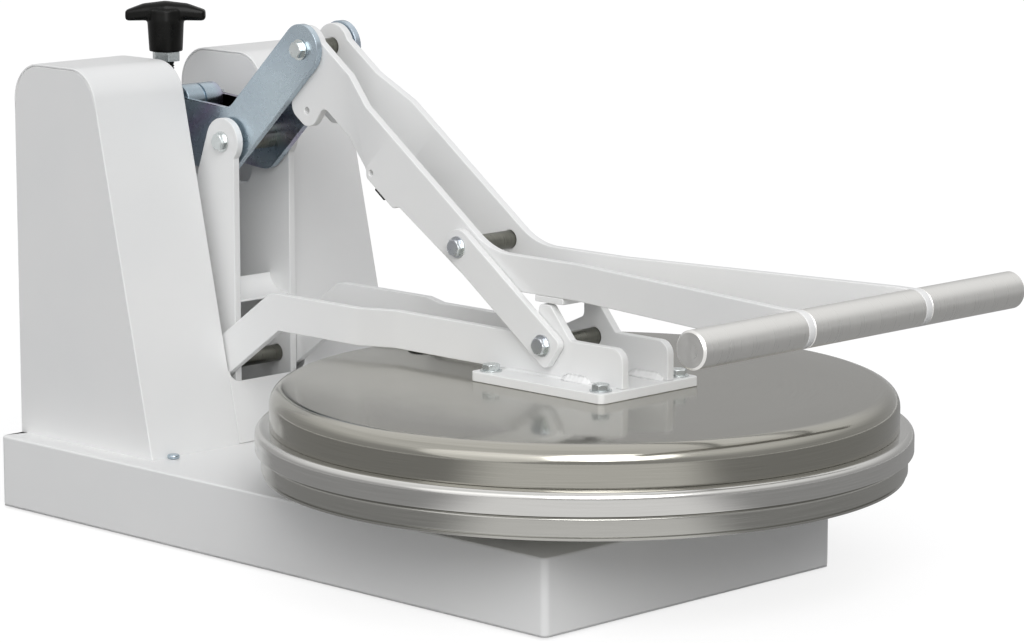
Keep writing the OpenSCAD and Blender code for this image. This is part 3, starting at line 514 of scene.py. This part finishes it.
def turned(name, centre, axis, profile, sides=96):
    """A piece turned on a lathe about an axis through centre, from [radius, height] points in mm.
    Its UV map runs round the piece and along the profile, in metres."""
    shape = bmesh.new()
    layer = shape.loops.layers.uv.new("turning")
    spin = Vector((0, 0, 1)).rotation_difference(Vector(axis)).to_matrix()
    rings = []
    along = 0.0
    lengths = []
    for j, (r, h) in enumerate(profile):
        if j:
            along += math.dist(profile[j - 1], (r, h))
        lengths.append(along * MM)
        ring = []
        for i in range(1 if r == 0 else sides):
            angle = 2 * math.pi * i / sides
            spot = spin @ Vector((r * math.cos(angle), r * math.sin(angle), h)) + Vector(centre)
            ring.append(shape.verts.new(spot * MM))
        rings.append(ring)
    around = 2 * math.pi * max(r for r, h in profile) * MM
    for j in range(len(profile) - 1):
        low, high = rings[j], rings[j + 1]
        for i in range(sides):
            n = i + 1
            corners = []
            for ring, step, v in ((low, i, j), (low, n, j), (high, n, j + 1), (high, i, j + 1)):
                corner = ring[step % sides] if len(ring) > 1 else ring[0]
                if corner not in [c for c, u, w in corners]:
                    corners.append((corner, step / sides * around, lengths[v]))
            if len(corners) > 2:
                face = shape.faces.new([c for c, u, v in corners])
                for loop, (c, u, v) in zip(face.loops, corners):
                    loop[layer].uv = (u, v)
    bmesh.ops.recalc_face_normals(shape, faces=shape.faces)
    piece = smooth(new_piece(name, shape))
    piece.data.set_sharp_from_angle(angle=math.radians(32))
    return piece


# Profile as [radius, height]: a button under the bar, a neck that turns in it, a shoulder on top of
# it, and the core of the thread.
screw_y, screw_r, button_r, neck_r, core_r, screw_bevel = 258.0, 6.35, 6.3, 4.4, 5.3, 0.4
screw_low, neck_low, neck_high, shoulder_high, screw_high = 211.4, 213.4, 235.8, 246.0, 353.4
shoulder_in, shoulder_rise, core_rise = 0.45, 0.5, 1.0
stem = turned("adjusting_screw_stem", (0, screw_y, 0), (0, 0, 1), [
    (0, screw_low), (button_r - screw_bevel, screw_low), (button_r, screw_low + screw_bevel),
    (button_r, neck_low - screw_bevel), (button_r - screw_bevel, neck_low), (neck_r, neck_low),
    (neck_r, neck_high), (screw_r - shoulder_in, neck_high), (screw_r, neck_high + shoulder_rise),
    (screw_r, shoulder_high), (core_r, shoulder_high + core_rise), (core_r, screw_high), (0, screw_high)], 48)


def geometry_tree(name, output, inputs):
    """A Geometry Nodes tree, its input node, and its inputs' identifiers by label."""
    made = bpy.data.node_groups.new(name, "GeometryNodeTree")
    identifiers = {}
    for label, kind, value in inputs:
        socket = made.interface.new_socket(label, in_out="INPUT", socket_type="NodeSocket" + kind)
        if value is not None:
            socket.default_value = value
        identifiers[label] = socket.identifier
    made.interface.new_socket(output, in_out="OUTPUT", socket_type="NodeSocketGeometry")
    return made, add(made, "NodeGroupInput"), identifiers


# The thread: a sharp ridge wound up the stem at a pitch of 2 mm, which is too fine to count.
thread_low, thread_pitch, thread_turns, ridge_r, ridge_size = 248.0, 2.0, 52.0, 5.4, 0.95
thread_tree, given, thread_sockets = geometry_tree("screw thread", "Screw", (
    ("Stem", "Geometry", None), ("Turns", "Float", thread_turns),
    ("Height", "Float", thread_turns * thread_pitch * MM), ("Ridge radius", "Float", ridge_r * MM),
    ("Ridge size", "Float", ridge_size * MM), ("Finish", "Material", None),
))
wind = add(thread_tree, "GeometryNodeCurveSpiral", {
    "Resolution": 32, "Rotations": given.outputs["Turns"], "Start Radius": given.outputs["Ridge radius"],
    "End Radius": given.outputs["Ridge radius"], "Height": given.outputs["Height"]})
upright = add(thread_tree, "GeometryNodeSetCurveNormal", {"Curve": wind.outputs[0]}, mode="Z_UP")
ridge = add(thread_tree, "GeometryNodeCurvePrimitiveCircle", {
    "Resolution": 4, "Radius": given.outputs["Ridge size"]})
wound = add(thread_tree, "GeometryNodeCurveToMesh", {
    "Curve": upright.outputs[0], "Profile Curve": ridge.outputs["Curve"], "Fill Caps": True})
placed = add(thread_tree, "GeometryNodeTransform", {
    "Geometry": wound.outputs[0], "Translation": (0, screw_y * MM, thread_low * MM)})
joined = add(thread_tree, "GeometryNodeJoinGeometry")
for part in (placed.outputs[0], given.outputs["Stem"]):
    thread_tree.links.new(part, joined.inputs[0])
real = add(thread_tree, "GeometryNodeRealizeInstances", {0: joined.outputs[0]})
coated = add(thread_tree, "GeometryNodeSetMaterial", {
    "Geometry": real.outputs[0], "Material": given.outputs["Finish"]})
add(thread_tree, "NodeGroupOutput", {0: coated.outputs[0]})
cut = stem.modifiers.new("thread", "NODES")
cut.node_group = thread_tree
cut[thread_sockets["Finish"]] = black_oxide
bake(stem)
fit_piece(stem, black_oxide, "knob", "black_steel", "adjusting_screw")

# Clear passivated zinc, as on bought bolts and nuts: the same plate in a neutral, lighter grey.
clear_zinc = zinc.copy()
clear_zinc.name = "clear passivated zinc plate"
clear_ramp = next(n for n in clear_zinc.node_tree.nodes if n.type == "VALTORGB").color_ramp
for shade, colour in zip(clear_ramp.elements, ("#c4caca", "#cdd2d2", "#c6c9cf", "#d3d8d8", "#dfe3e2")):
    shade.color = linear(colour)
nut = rounded_edges(solid_copy("jam_nut_hex", "jam_nut"), 0.7)
fit_piece(nut, clear_zinc, "knob", "dark_steel", "jam_nut")

# Phenolic moulded in a polished tool: black, hard and glossy, with a faint flow mottle.
phenolic, tree, shader = blank("moulded black phenolic")
flow_cell = 9.0
place = add(tree, "ShaderNodeTexCoord").outputs["Object"]
flow = add(tree, "ShaderNodeTexNoise", {"Vector": place, "Scale": 1 / (flow_cell * MM), "Detail": 3.0})
vary(tree, shader, flow, ("#090908", "#11110f"), (0.24, 0.34))
shader.inputs["Specular IOR Level"].default_value = 0.16
handle = solid_copy("t_handle_moulded", "t_handle")
melt = handle.modifiers.new("melt", "REMESH")
melt.mode = "VOXEL"
melt.voxel_size = 0.7 * MM
melt.use_smooth_shade = True
flow_on = handle.modifiers.new("flow", "SMOOTH")
flow_on.factor = 0.5
flow_on.iterations = 10
fit_piece(bake(handle), phenolic, "knob", "black_plastic", "t_handle")


# ---- Crank plates ----
# Two steel bell-crank plates, punched and zinc plated. They tip on the uprights' pivot, carry the
# handle's pivot in front, and are held apart behind by a spacer that is bolted between them.
head_at = (82.5, 353.0)
crank_cuts = [(head_at, (-0.725, 0.688)), (crank_at, (0.87, -0.5))]
for node in ("left_crank", "right_crank"):
    plate = rounded_edges(solid_copy(node + "_plate", node, cuts=crank_cuts), 0.35)
    fit_piece(plate, zinc, "crank", "zinc", node)


# ---- Bolt heads and spacer ----
# Hexagon heads, 11.1 mm across the flats, with a forged chamfer and a round washer under each, and
# the grooved spacer of the crank plates, turned from bar. All are zinc plated.
head_flats, head_high, washer_size = 11.1, 4.1, (15.4, 1.0)
face_share, chamfer_slope = 0.95, math.tan(math.radians(30))
# One tree sets a head on every point, facing the way that the point's attribute says.
head_tree, given, head_sockets = geometry_tree("hexagon heads", "Heads", (
    ("Points", "Geometry", None), ("Across flats", "Float", head_flats * MM),
    ("Head height", "Float", head_high * MM), ("Washer diameter", "Float", washer_size[0] * MM),
    ("Washer thickness", "Float", washer_size[1] * MM), ("Finish", "Material", None),
))
blank_head = add(head_tree, "GeometryNodeMeshCylinder", {
    "Vertices": 72, "Side Segments": 2, "Radius": 1.0, "Depth": 2.0})
spot = add(head_tree, "GeometryNodeInputPosition")
xyz = add(head_tree, "ShaderNodeSeparateXYZ", {0: spot.outputs[0]})
round_turn = add(head_tree, "ShaderNodeMath", {0: xyz.outputs[1], 1: xyz.outputs[0]}, operation="ARCTAN2")
off_flat = add(head_tree, "ShaderNodeMath", {0: round_turn.outputs[0], 1: math.pi / 6}, operation="PINGPONG")
off_flat_cos = add(head_tree, "ShaderNodeMath", {0: off_flat.outputs[0]}, operation="COSINE")
flat_r = add(head_tree, "ShaderNodeMath", {0: given.outputs["Across flats"], 1: 0.5}, operation="MULTIPLY")
hex_r = add(head_tree, "ShaderNodeMath", {
    0: flat_r.outputs[0], 1: off_flat_cos.outputs[0]}, operation="DIVIDE")
face_r = add(head_tree, "ShaderNodeMath", {0: flat_r.outputs[0], 1: face_share}, operation="MULTIPLY")
slope = add(head_tree, "ShaderNodeMath", {0: hex_r.outputs[0], 1: face_r.outputs[0]}, operation="SUBTRACT")
drop = add(head_tree, "ShaderNodeMath", {0: slope.outputs[0], 1: chamfer_slope}, operation="MULTIPLY")
shoulder_z = add(head_tree, "ShaderNodeMath", {
    0: given.outputs["Head height"], 1: drop.outputs[0]}, operation="SUBTRACT")
is_face = add(head_tree, "ShaderNodeMath", {0: xyz.outputs[2], 1: 0.5}, operation="GREATER_THAN")
is_up = add(head_tree, "ShaderNodeMath", {0: xyz.outputs[2], 1: -0.5}, operation="GREATER_THAN")
ring_r = add(head_tree, "ShaderNodeMix", {0: is_face.outputs[0], 2: hex_r.outputs[0], 3: face_r.outputs[0]})
head_z = add(head_tree, "ShaderNodeMix", {
    0: is_face.outputs[0], 2: shoulder_z.outputs[0], 3: given.outputs["Head height"]})
ring_z = add(head_tree, "ShaderNodeMath", {
    0: head_z.outputs[0], 1: is_up.outputs[0], 2: given.outputs["Washer thickness"]},
    operation="MULTIPLY_ADD")
ring_x = add(head_tree, "ShaderNodeMath", {0: xyz.outputs[0], 1: ring_r.outputs[0]}, operation="MULTIPLY")
ring_y = add(head_tree, "ShaderNodeMath", {0: xyz.outputs[1], 1: ring_r.outputs[0]}, operation="MULTIPLY")
forged_spot = add(head_tree, "ShaderNodeCombineXYZ", {
    0: ring_x.outputs[0], 1: ring_y.outputs[0], 2: ring_z.outputs[0]})
forged = add(head_tree, "GeometryNodeSetPosition", {
    "Geometry": blank_head.outputs[0], "Position": forged_spot.outputs[0]})
washer_r = add(head_tree, "ShaderNodeMath", {
    0: given.outputs["Washer diameter"], 1: 0.5}, operation="MULTIPLY")
washer = add(head_tree, "GeometryNodeMeshCylinder", {
    "Vertices": 48, "Radius": washer_r.outputs[0], "Depth": given.outputs["Washer thickness"]})
washer_half = add(head_tree, "ShaderNodeMath", {
    0: given.outputs["Washer thickness"], 1: 0.5}, operation="MULTIPLY")
washer_rise = add(head_tree, "ShaderNodeCombineXYZ", {"Z": washer_half.outputs[0]})
washer_up = add(head_tree, "GeometryNodeTransform", {
    "Geometry": washer.outputs[0], "Translation": washer_rise.outputs[0]})
one_head = add(head_tree, "GeometryNodeJoinGeometry")
for part in (forged.outputs[0], washer_up.outputs[0]):
    head_tree.links.new(part, one_head.inputs[0])
facing = add(head_tree, "GeometryNodeInputNamedAttribute", {"Name": "facing"}, data_type="FLOAT_VECTOR")
turn = add(head_tree, "FunctionNodeAlignRotationToVector", {"Vector": facing.outputs["Attribute"]}, axis="Z")
heads = add(head_tree, "GeometryNodeInstanceOnPoints", {
    "Points": given.outputs["Points"], "Instance": one_head.outputs[0], "Rotation": turn.outputs[0]})
real = add(head_tree, "GeometryNodeRealizeInstances", {0: heads.outputs[0]})
plated = add(head_tree, "GeometryNodeSetMaterial", {
    "Geometry": real.outputs[0], "Material": given.outputs["Finish"]})
add(head_tree, "NodeGroupOutput", {0: plated.outputs[0]})


def bolt_heads(name, spots, body, slot, nodes, shanks=(), washer=washer_size, height=head_high):
    """Hexagon heads at [place, facing] spots, with turned shanks, as one piece."""
    shape = bmesh.new()
    for spot, way in spots:
        shape.verts.new(Vector(spot) * MM)
    piece = new_piece(name, shape)
    facing = piece.data.attributes.new("facing", "FLOAT_VECTOR", "POINT")
    for row, (spot, way) in zip(facing.data, spots):
        row.vector = way
    maker = piece.modifiers.new("heads", "NODES")
    maker.node_group = head_tree
    maker[head_sockets["Head height"]] = height * MM
    maker[head_sockets["Washer diameter"]] = washer[0] * MM
    maker[head_sockets["Washer thickness"]] = washer[1] * MM
    maker[head_sockets["Finish"]] = clear_zinc
    bake(piece)
    shape = bmesh.new()
    shape.from_mesh(piece.data)
    for shank in shanks:
        shape.from_mesh(shank.data)
        bpy.data.objects.remove(shank)
    bmesh.ops.remove_doubles(shape, verts=shape.verts, dist=0.005 * MM)
    shape.to_mesh(piece.data)
    shape.free()
    rounded_edges(piece, 0.22, 2, 25)
    return fit_piece(piece, clear_zinc, body, slot, *nodes)


shaft_r = 6.35


def cross_rod(name, at, x0, x1, radius=shaft_r, bevels=(0.4, 0.4), sides=48):
    """A plain turned rod across the press at [y, z], with a bevel at each end."""
    return turned(name, (0, at[0], at[1]), (1, 0, 0), [
        (0, x0), (radius - bevels[0], x0), (radius, x0 + bevels[0]),
        (radius, x1 - bevels[1]), (radius - bevels[1], x1), (0, x1)], sides)


left, right, up = (-1, 0, 0), (1, 0, 0), (0, 0, 1)
toggle_at, ear_at, spacer_at = (-91.286, 228.122), (-174.118, 168.601), (224.0, 303.5)


def both_ends(at, x0, x1):
    """Spots for two heads that face outwards, at x0 and x1 on a pivot at [y, z]."""
    return [((x0, at[0], at[1]), left), ((x1, at[0], at[1]), right)]


# Where heads sit on the plates' outer faces, and how far the rods reach into them.
crank_end, head_end, spacer_end, right_end = 30.8, 22.2, 21.9, 26.1
ear_left, link_left, link_inner, rod_lap = -32.6, -32.4, -26.4, 0.1
bolt_heads("crank_shaft_bolt", both_ends(crank_at, -crank_end, crank_end), "frame", "zinc", ["crank_shaft"])
bolt_heads("head_shaft_bolt", both_ends(head_at, -head_end, head_end), "head_shaft", "zinc", ["head_shaft"])
bolt_heads("ear_shaft_heads", both_ends(ear_at, ear_left, right_end), "press", "dark_steel", ["ear_shaft"])
bolt_heads("toggle_shaft_head", both_ends(toggle_at, 0, right_end)[1:], "handle", "dark_steel",
           ["toggle_shaft"])
bolt_heads("link_bolt_head", both_ends(toggle_at, link_left, 0)[:1], "link", "zinc", ["link_bolt"],
           [cross_rod("link_pin", toggle_at, link_left - rod_lap, link_inner)])

spacer_r, spacer_half, spacer_bevel, groove_r, groove_half, groove_slope = 12, 17, 0.4, 10.8, 0.9, 0.3
half_tube = [
    (0, spacer_half), (spacer_r - spacer_bevel, spacer_half), (spacer_r, spacer_half - spacer_bevel),
    (spacer_r, groove_half), (groove_r, groove_half - groove_slope),
]
spacer_tube = turned("spacer_tube", (0, spacer_at[0], spacer_at[1]), (1, 0, 0),
                     [(r, -h) for r, h in half_tube] + half_tube[::-1], 72)
fit_piece(spacer_tube, zinc, "crank", "zinc", "crank_spacer")
# These and the uprights' bolts have a thin seat forged under the head, and no washer.
seat_size = (14.0, 0.1)
bolt_heads("crank_spacer_bolt", both_ends(spacer_at, -spacer_end, spacer_end), "crank", "zinc",
           ["crank_spacer"], washer=seat_size, height=3.6)

platen_y, bracket_top, bracket_bolt_x, bracket_bolt_y = -183.5, 146.1, 38.75, 52.5
bracket_spots = [
    ((x * bracket_bolt_x, platen_y + y * bracket_bolt_y, bracket_top), up) for x in (-1, 1) for y in (-1, 1)
]
bolt_heads("bracket_bolt_heads", bracket_spots, "press", "zinc", ["bracket_bolts", "bracket_washers"])
foot_low, foot_high = ([v / MM for v in corner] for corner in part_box("upright_bolts"))
solid_head, foot_inset = 5.3, 7.33
foot_spots = [
    ((x, y, foot_high[2] - solid_head), up)
    for x in (foot_low[0] + foot_inset, foot_high[0] - foot_inset)
    for y in (foot_low[1] + foot_inset, foot_high[1] - foot_inset)
]
bolt_heads("upright_bolt_heads", foot_spots, "frame", "zinc", ["upright_bolts"], washer=seat_size, height=5.2)


# ---- Plain shafts ----
# Bare turned steel, whose dark grey here is painted shade for rods that sit in shadow between the plates:
# the crank's rod with its collar, the rods between the crank plates, the handle arms and the ears,
# and the rear pivot with its spring clips.
collar_half, collar_r, toggle_left = 24.5, 8.5, -25.9
rear_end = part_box("rear_shaft")[1][0] / MM
for name, at, x0, x1, radius, body, node in (
    ("crank_rod", crank_at, -crank_end - rod_lap, crank_end + rod_lap, shaft_r, "frame", "crank_shaft"),
    ("crank_collar", crank_at, -collar_half, collar_half, collar_r, "frame", "crank_shaft"),
    ("head_rod", head_at, -head_end - rod_lap, head_end + rod_lap, shaft_r, "head_shaft", "head_shaft"),
    ("toggle_rod", toggle_at, toggle_left, right_end + rod_lap, shaft_r, "handle", "toggle_shaft"),
    ("ear_rod", ear_at, ear_left - rod_lap, right_end + rod_lap, shaft_r, "press", "ear_shaft"),
    ("rear_rod", rear_at, -rear_end, rear_end, shaft_r, "rear_shaft", "rear_shaft"),
):
    fit_piece(cross_rod(name, at, x0, x1, radius), bare_steel, body, "dark_steel", node)
clips = rounded_edges(solid_copy("rear_shaft_clips", "shaft_clips"), 0.15, 2)
fit_piece(clips, bare_steel, "rear_shaft", "dark_steel", "shaft_clips")


# ---- Handle arms and stop ----
# Two long plates cut from 6 mm steel, cranked outwards in two bends, with a ring at the end that
# clamps the grips. A flat bar is welded across their undersides, and a rubber stop sits between
# the pads. Powder coated like the frame.
lobe_hole, pad_hole, grip_at = (81.58, 308.01), (3.80, 270.59), (-428.0, 214.6)
arm_way = (-0.8121, -0.5835)
arm_cuts = [(at, arm_way) for at in (head_at, toggle_at, lobe_hole, pad_hole)] + [(grip_at, (1, 0))]
for node in ("left_arm", "right_arm", "rest_bar"):
    cuts = arm_cuts if node != "rest_bar" else ()
    plate = rounded_edges(solid_copy(node + "_plate", node, cuts=cuts), 0.8)
    fit_piece(plate, powder_coat, "handle", "white_paint", node)


def along_arm(along, across):
    """A point [y, z] so far down the arms' line from their pivot, and so far above it."""
    y = head_at[0] + arm_way[0] * along + arm_way[1] * across
    z = head_at[1] + arm_way[1] * along - arm_way[0] * across
    return y, z


# The stop's block between the pads, and the lip that laps their undersides.
pad_edge, stop_from, stop_to = -27.0, 121.5, 132.5
shape = bmesh.new()
for half, start, end, low, high in (
    (19.0, stop_from, stop_to, pad_edge - 2.4, pad_edge + 5.6),
    (25.6, stop_from + 0.3, stop_to + 0.9, pad_edge - 1.6, pad_edge),
):
    ring = [along_arm(start, low), along_arm(end, low), along_arm(end, high), along_arm(start, high)]
    add_bar(shape, ring, -half, half)
bmesh.ops.recalc_face_normals(shape, faces=shape.faces)
stop = rounded_edges(new_piece("arm_stop_rubber", shape), 0.5)
fit_piece(stop, rubber, "handle", "rubber", "arm_stop")


# ---- Grips ----
# Three lengths of 1 inch aluminium bar, fine turned and left bare, threaded on one steel rod.
# The lathe leaves rings about 0.2 mm apart, drawn here at 0.8 mm, that spread the light along it.
def turning_marks(tree, shader, pitch, stretch, detail, spread):
    """A noise of rings round a turned metal, so many mm apart, that spread its light across them."""
    round_uv = add(tree, "ShaderNodeUVMap", uv_map="turning").outputs[0]
    drawn = add(tree, "ShaderNodeMapping", {"Vector": round_uv, "Scale": (stretch, 1.0, 1.0)})
    round_way = add(tree, "ShaderNodeTangent", direction_type="UV_MAP", uv_map="turning")
    tree.links.new(round_way.outputs[0], shader.inputs["Tangent"])
    shader.inputs["Metallic"].default_value = 1.0
    shader.inputs["Anisotropic"].default_value = spread
    return add(tree, "ShaderNodeTexNoise", {
        "Vector": drawn.outputs[0], "Scale": 1 / (pitch * MM), "Detail": detail})


turned_bar, tree, shader = blank("fine turned aluminium bar")
ring_pitch = 0.8
rings = turning_marks(tree, shader, ring_pitch, stretch=0.02, detail=3.0, spread=0.65)
vary(tree, shader, rings, ("#d9d8d5", "#e6e5e2"), (0.26, 0.4), (0.05, 0.02))

grip_r, ring_in, ring_out, bar_end = 12.7, 55.8, 62.2, 161.2
joint_bevel, end_bevel = 0.5, 1.5
for name, x0, x1 in (
    ("left_grip", -bar_end, -ring_out), ("middle_grip", -ring_in, ring_in), ("right_grip", ring_out, bar_end),
):
    bevels = [joint_bevel if abs(x) < bar_end else end_bevel for x in (x0, x1)]
    bar = cross_rod(name + "_bar", grip_at, x0, x1, grip_r, bevels, 64)
    fit_piece(bar, turned_bar, "handle", "grip_aluminium", name)


# ---- Link ----
# One short white plate beside the left arm, between the arms' shaft and the ears' shaft. Its upper
# end is round and its lower end square, and it is laser cut and powder coated.
link_cuts = [(toggle_at, arm_way), (ear_at, arm_way)]
plate = rounded_edges(solid_copy("toggle_link_plate", "toggle_link", cuts=link_cuts), 0.8)
fit_piece(plate, powder_coat, "link", "white_paint", "toggle_link")


# ---- Levers and bracket ----
# Two white plates run from the rear pivot to the ears, and the bracket plate under them is bolted
# through the cover. All are welded up and powder coated together.
lever_cuts = [(rear_at, (0.81, 0.58)), (ear_at, (1, 0.12))]
for node in ("left_lever", "right_lever", "bracket_plate"):
    cuts = lever_cuts if node != "bracket_plate" else ()
    plate = rounded_edges(solid_copy(node + "_white", node, cuts=cuts), 0.8)
    fit_piece(plate, powder_coat, "press", "white_paint", node)

# Fillet welds at the ears' feet, ground a little and painted over: ripples about 4 mm apart.
ear_in, ear_out = 19.5, 25.9
weld_step, weld_ripple, ripple_depth = 1.0, 4.0, 0.05
tip_size, tip_slope = 0.2, 4
weld_form = ((-0.06, -0.06), (1.0, -0.04), (0.62, 0.24), (0.42, 0.42), (0.24, 0.62), (-0.04, 1.0))
shape = bmesh.new()
for face, way, start, end, weld_leg in (
    (ear_out, 1, -214, -188, 5.0), (-ear_out, -1, -214, -188, 5.0),
    (ear_out, 1, -238, -132, 1.8), (-ear_out, -1, -238, -132, 1.8),
    (ear_in, -1, -240, -208, 5.0), (-ear_in, 1, -240, -208, 5.0),
):
    count = int((end - start) / weld_step)
    last = None
    for i in range(count + 1):
        taper = min(1.0, tip_size + tip_slope * i / count, tip_size + tip_slope * (count - i) / count) ** 0.5
        leg = weld_leg * taper * (1 + ripple_depth * math.sin(2 * math.pi * i * weld_step / weld_ripple))
        y = start + i * weld_step
        row = [
            shape.verts.new(((face + way * a * leg) * MM, y * MM, (bracket_top + b * leg) * MM))
            for a, b in weld_form]
        if last:
            for k in range(len(row)):
                shape.faces.new((last[k - 1], last[k], row[k], row[k - 1]))
        if i in (0, count):
            shape.faces.new(row)
        last = row
bmesh.ops.recalc_face_normals(shape, faces=shape.faces)
fit_piece(smooth(new_piece("ear_welds", shape)), powder_coat, "press", "white_paint")


# ---- Platen cover ----
# A round lid spun from 1.5 mm stainless sheet over a former. Spinning and brushing leave fine
# lines round it, 0.1 mm apart and drawn at 0.7 mm, and the top is nearly a mirror.
spun_steel, tree, shader = blank("spun and brushed stainless steel")
line_pitch = 0.7
handling_cell = 90.0
lines = turning_marks(tree, shader, line_pitch, stretch=0.012, detail=3.0, spread=0.45)
place = add(tree, "ShaderNodeTexCoord").outputs["Object"]
handling = add(tree, "ShaderNodeTexNoise", {
    "Vector": place, "Scale": 1 / (handling_cell * MM), "Detail": 3.0})
vary(tree, shader, lines, ("#9a9890", "#adaba3"), bump=(0.06, 0.02))
vary(tree, shader, handling, rough=(0.10, 0.17))

platen_centre = (0, platen_y, 0)


def quarter(r, z, radius, start, steps=10):
    """Points of a quarter round about [r, z], from a start angle clockwise, in degrees."""
    turns = [math.radians(start - 90 * i / steps) for i in range(steps + 1)]
    return [(r + radius * math.cos(turn), z + radius * math.sin(turn)) for turn in turns]


lid_r, lid_round, lid_wall, lid_edge = 218.5, 12.5, 1.5, 0.4
lid_low, lid_high = 111.3, 139.1
lid_profile = [(r, lid_high) for r in (0, 60, 120, 170)]
lid_profile += quarter(lid_r - lid_round, lid_high - lid_round, lid_round, 90)
lid_profile += [(lid_r, lid_low + lid_edge), (lid_r - lid_edge, lid_low), (lid_r - lid_wall, lid_low)]
inner = quarter(lid_r - lid_round, lid_high - lid_round, lid_round - lid_wall, 90)
lid_profile += inner[::-1] + [(0, lid_high - lid_wall)]
lid = turned("platen_cover_spun", platen_centre, (0, 0, 1), lid_profile, 192)
fit_piece(lid, spun_steel, "press", "stainless", "platen_cover")

# A moulded rubber plug closes a hole in the lid between the levers. Its crown is rounded off by so
# much in from its rim and down from its top.
plug_x, plug_y, plug_r, plug_h = 13.5, -10.0, 12.0, 2.5
plug_crown = ((3.0, 0.0), (1.2, 0.3), (0.3, 1.0), (0.0, 1.8))
plug = turned("cover_plug", (plug_x, plug_y, lid_high), (0, 0, 1), [
    (0, plug_h), *((plug_r - a, plug_h - b) for a, b in plug_crown), (plug_r, 0.0), (0, 0.0)], 64)
fit_piece(plug, rubber, "press", "rubber")


# ---- Platens ----
# Two thick aluminium discs, turned and polished, the upper one wider with a rounded rim. The lower
# one stands on a turned steel pedestal.
# Polished turning: bright, with broad soft bands where the polishing wheel passed.
polished, tree, shader = blank("turned and polished aluminium")
band_pitch = 1.2
bands = turning_marks(tree, shader, band_pitch, stretch=0.02, detail=2.0, spread=0.3)
vary(tree, shader, bands, ("#c2c1be", "#d0cfcc"), (0.14, 0.24))

# The lower one: the same turning, in a darker and greyer tone.
darkened = polished.copy()
darkened.name = "turned and dulled aluminium"
darker_tone = next(n for n in darkened.node_tree.nodes if n.type == "MIX")
for socket, colour in ((6, "#a8a7a2"), (7, "#b7b6b1")):
    darker_tone.inputs[socket].default_value = linear(colour)

disc_mid = 150
upper_r, upper_low, upper_high, upper_round, upper_edge = 228.6, 95.3, 111.3, 5.0, 1.2
upper_profile = [(0, upper_high), (disc_mid, upper_high)]
upper_profile += quarter(upper_r - upper_round, upper_high - upper_round, upper_round, 90)
upper_profile += quarter(upper_r - upper_edge, upper_low + upper_edge, upper_edge, 0, 4)
upper_profile += [(disc_mid, upper_low), (0, upper_low)]
upper = turned("upper_platen_disc", platen_centre, (0, 0, 1), upper_profile, 192)
fit_piece(upper, polished, "press", "platen_aluminium", "upper_platen")

# The lower disc has a groove round its rim, over a foot that stands a little back.
lower_r, lower_low, lower_high, lower_round, lower_edge = 224.5, 78.5, 94.5, 2.4, 0.3
groove_low, groove_top, groove_in, foot_in = lower_low + 2.0, lower_low + 3.5, lower_r - 3.0, lower_r - 1.5
lower_profile = [(0, lower_high), (disc_mid, lower_high)]
lower_profile += quarter(lower_r - lower_round, lower_high - lower_round, lower_round, 90, 6)
lower_profile += [
    (lower_r, groove_top + lower_edge), (lower_r - lower_edge, groove_top), (groove_in, groove_top),
    (groove_in, groove_low), (foot_in - lower_edge, groove_low), (foot_in, groove_low - lower_edge),
    (foot_in, lower_low + lower_edge), (foot_in - lower_edge, lower_low), (disc_mid, lower_low),
    (0, lower_low)]
lower = turned("lower_platen_disc", platen_centre, (0, 0, 1), lower_profile, 192)
fit_piece(lower, darkened, "frame", "platen_aluminium", "lower_platen")

pedestal_low, pedestal_high = (corner[2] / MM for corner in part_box("platen_pedestal"))
pedestal_r, pedestal_edge = 100, 0.8
pedestal = turned("platen_pedestal_ring", platen_centre, (0, 0, 1), [
    (0, pedestal_low), (pedestal_r - pedestal_edge, pedestal_low), (pedestal_r, pedestal_low + pedestal_edge),
    (pedestal_r, pedestal_high - pedestal_edge), (pedestal_r - pedestal_edge, pedestal_high),
    (0, pedestal_high)], 128)
fit_piece(pedestal, bare_steel, "frame", "dark_steel", "platen_pedestal")

# The rod in the grips and the block under the bracket are out of sight and keep their solids.
for node in ("grip_rod", "platen_block"):
    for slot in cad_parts[node].material_slots:
        slot.material = bare_steel
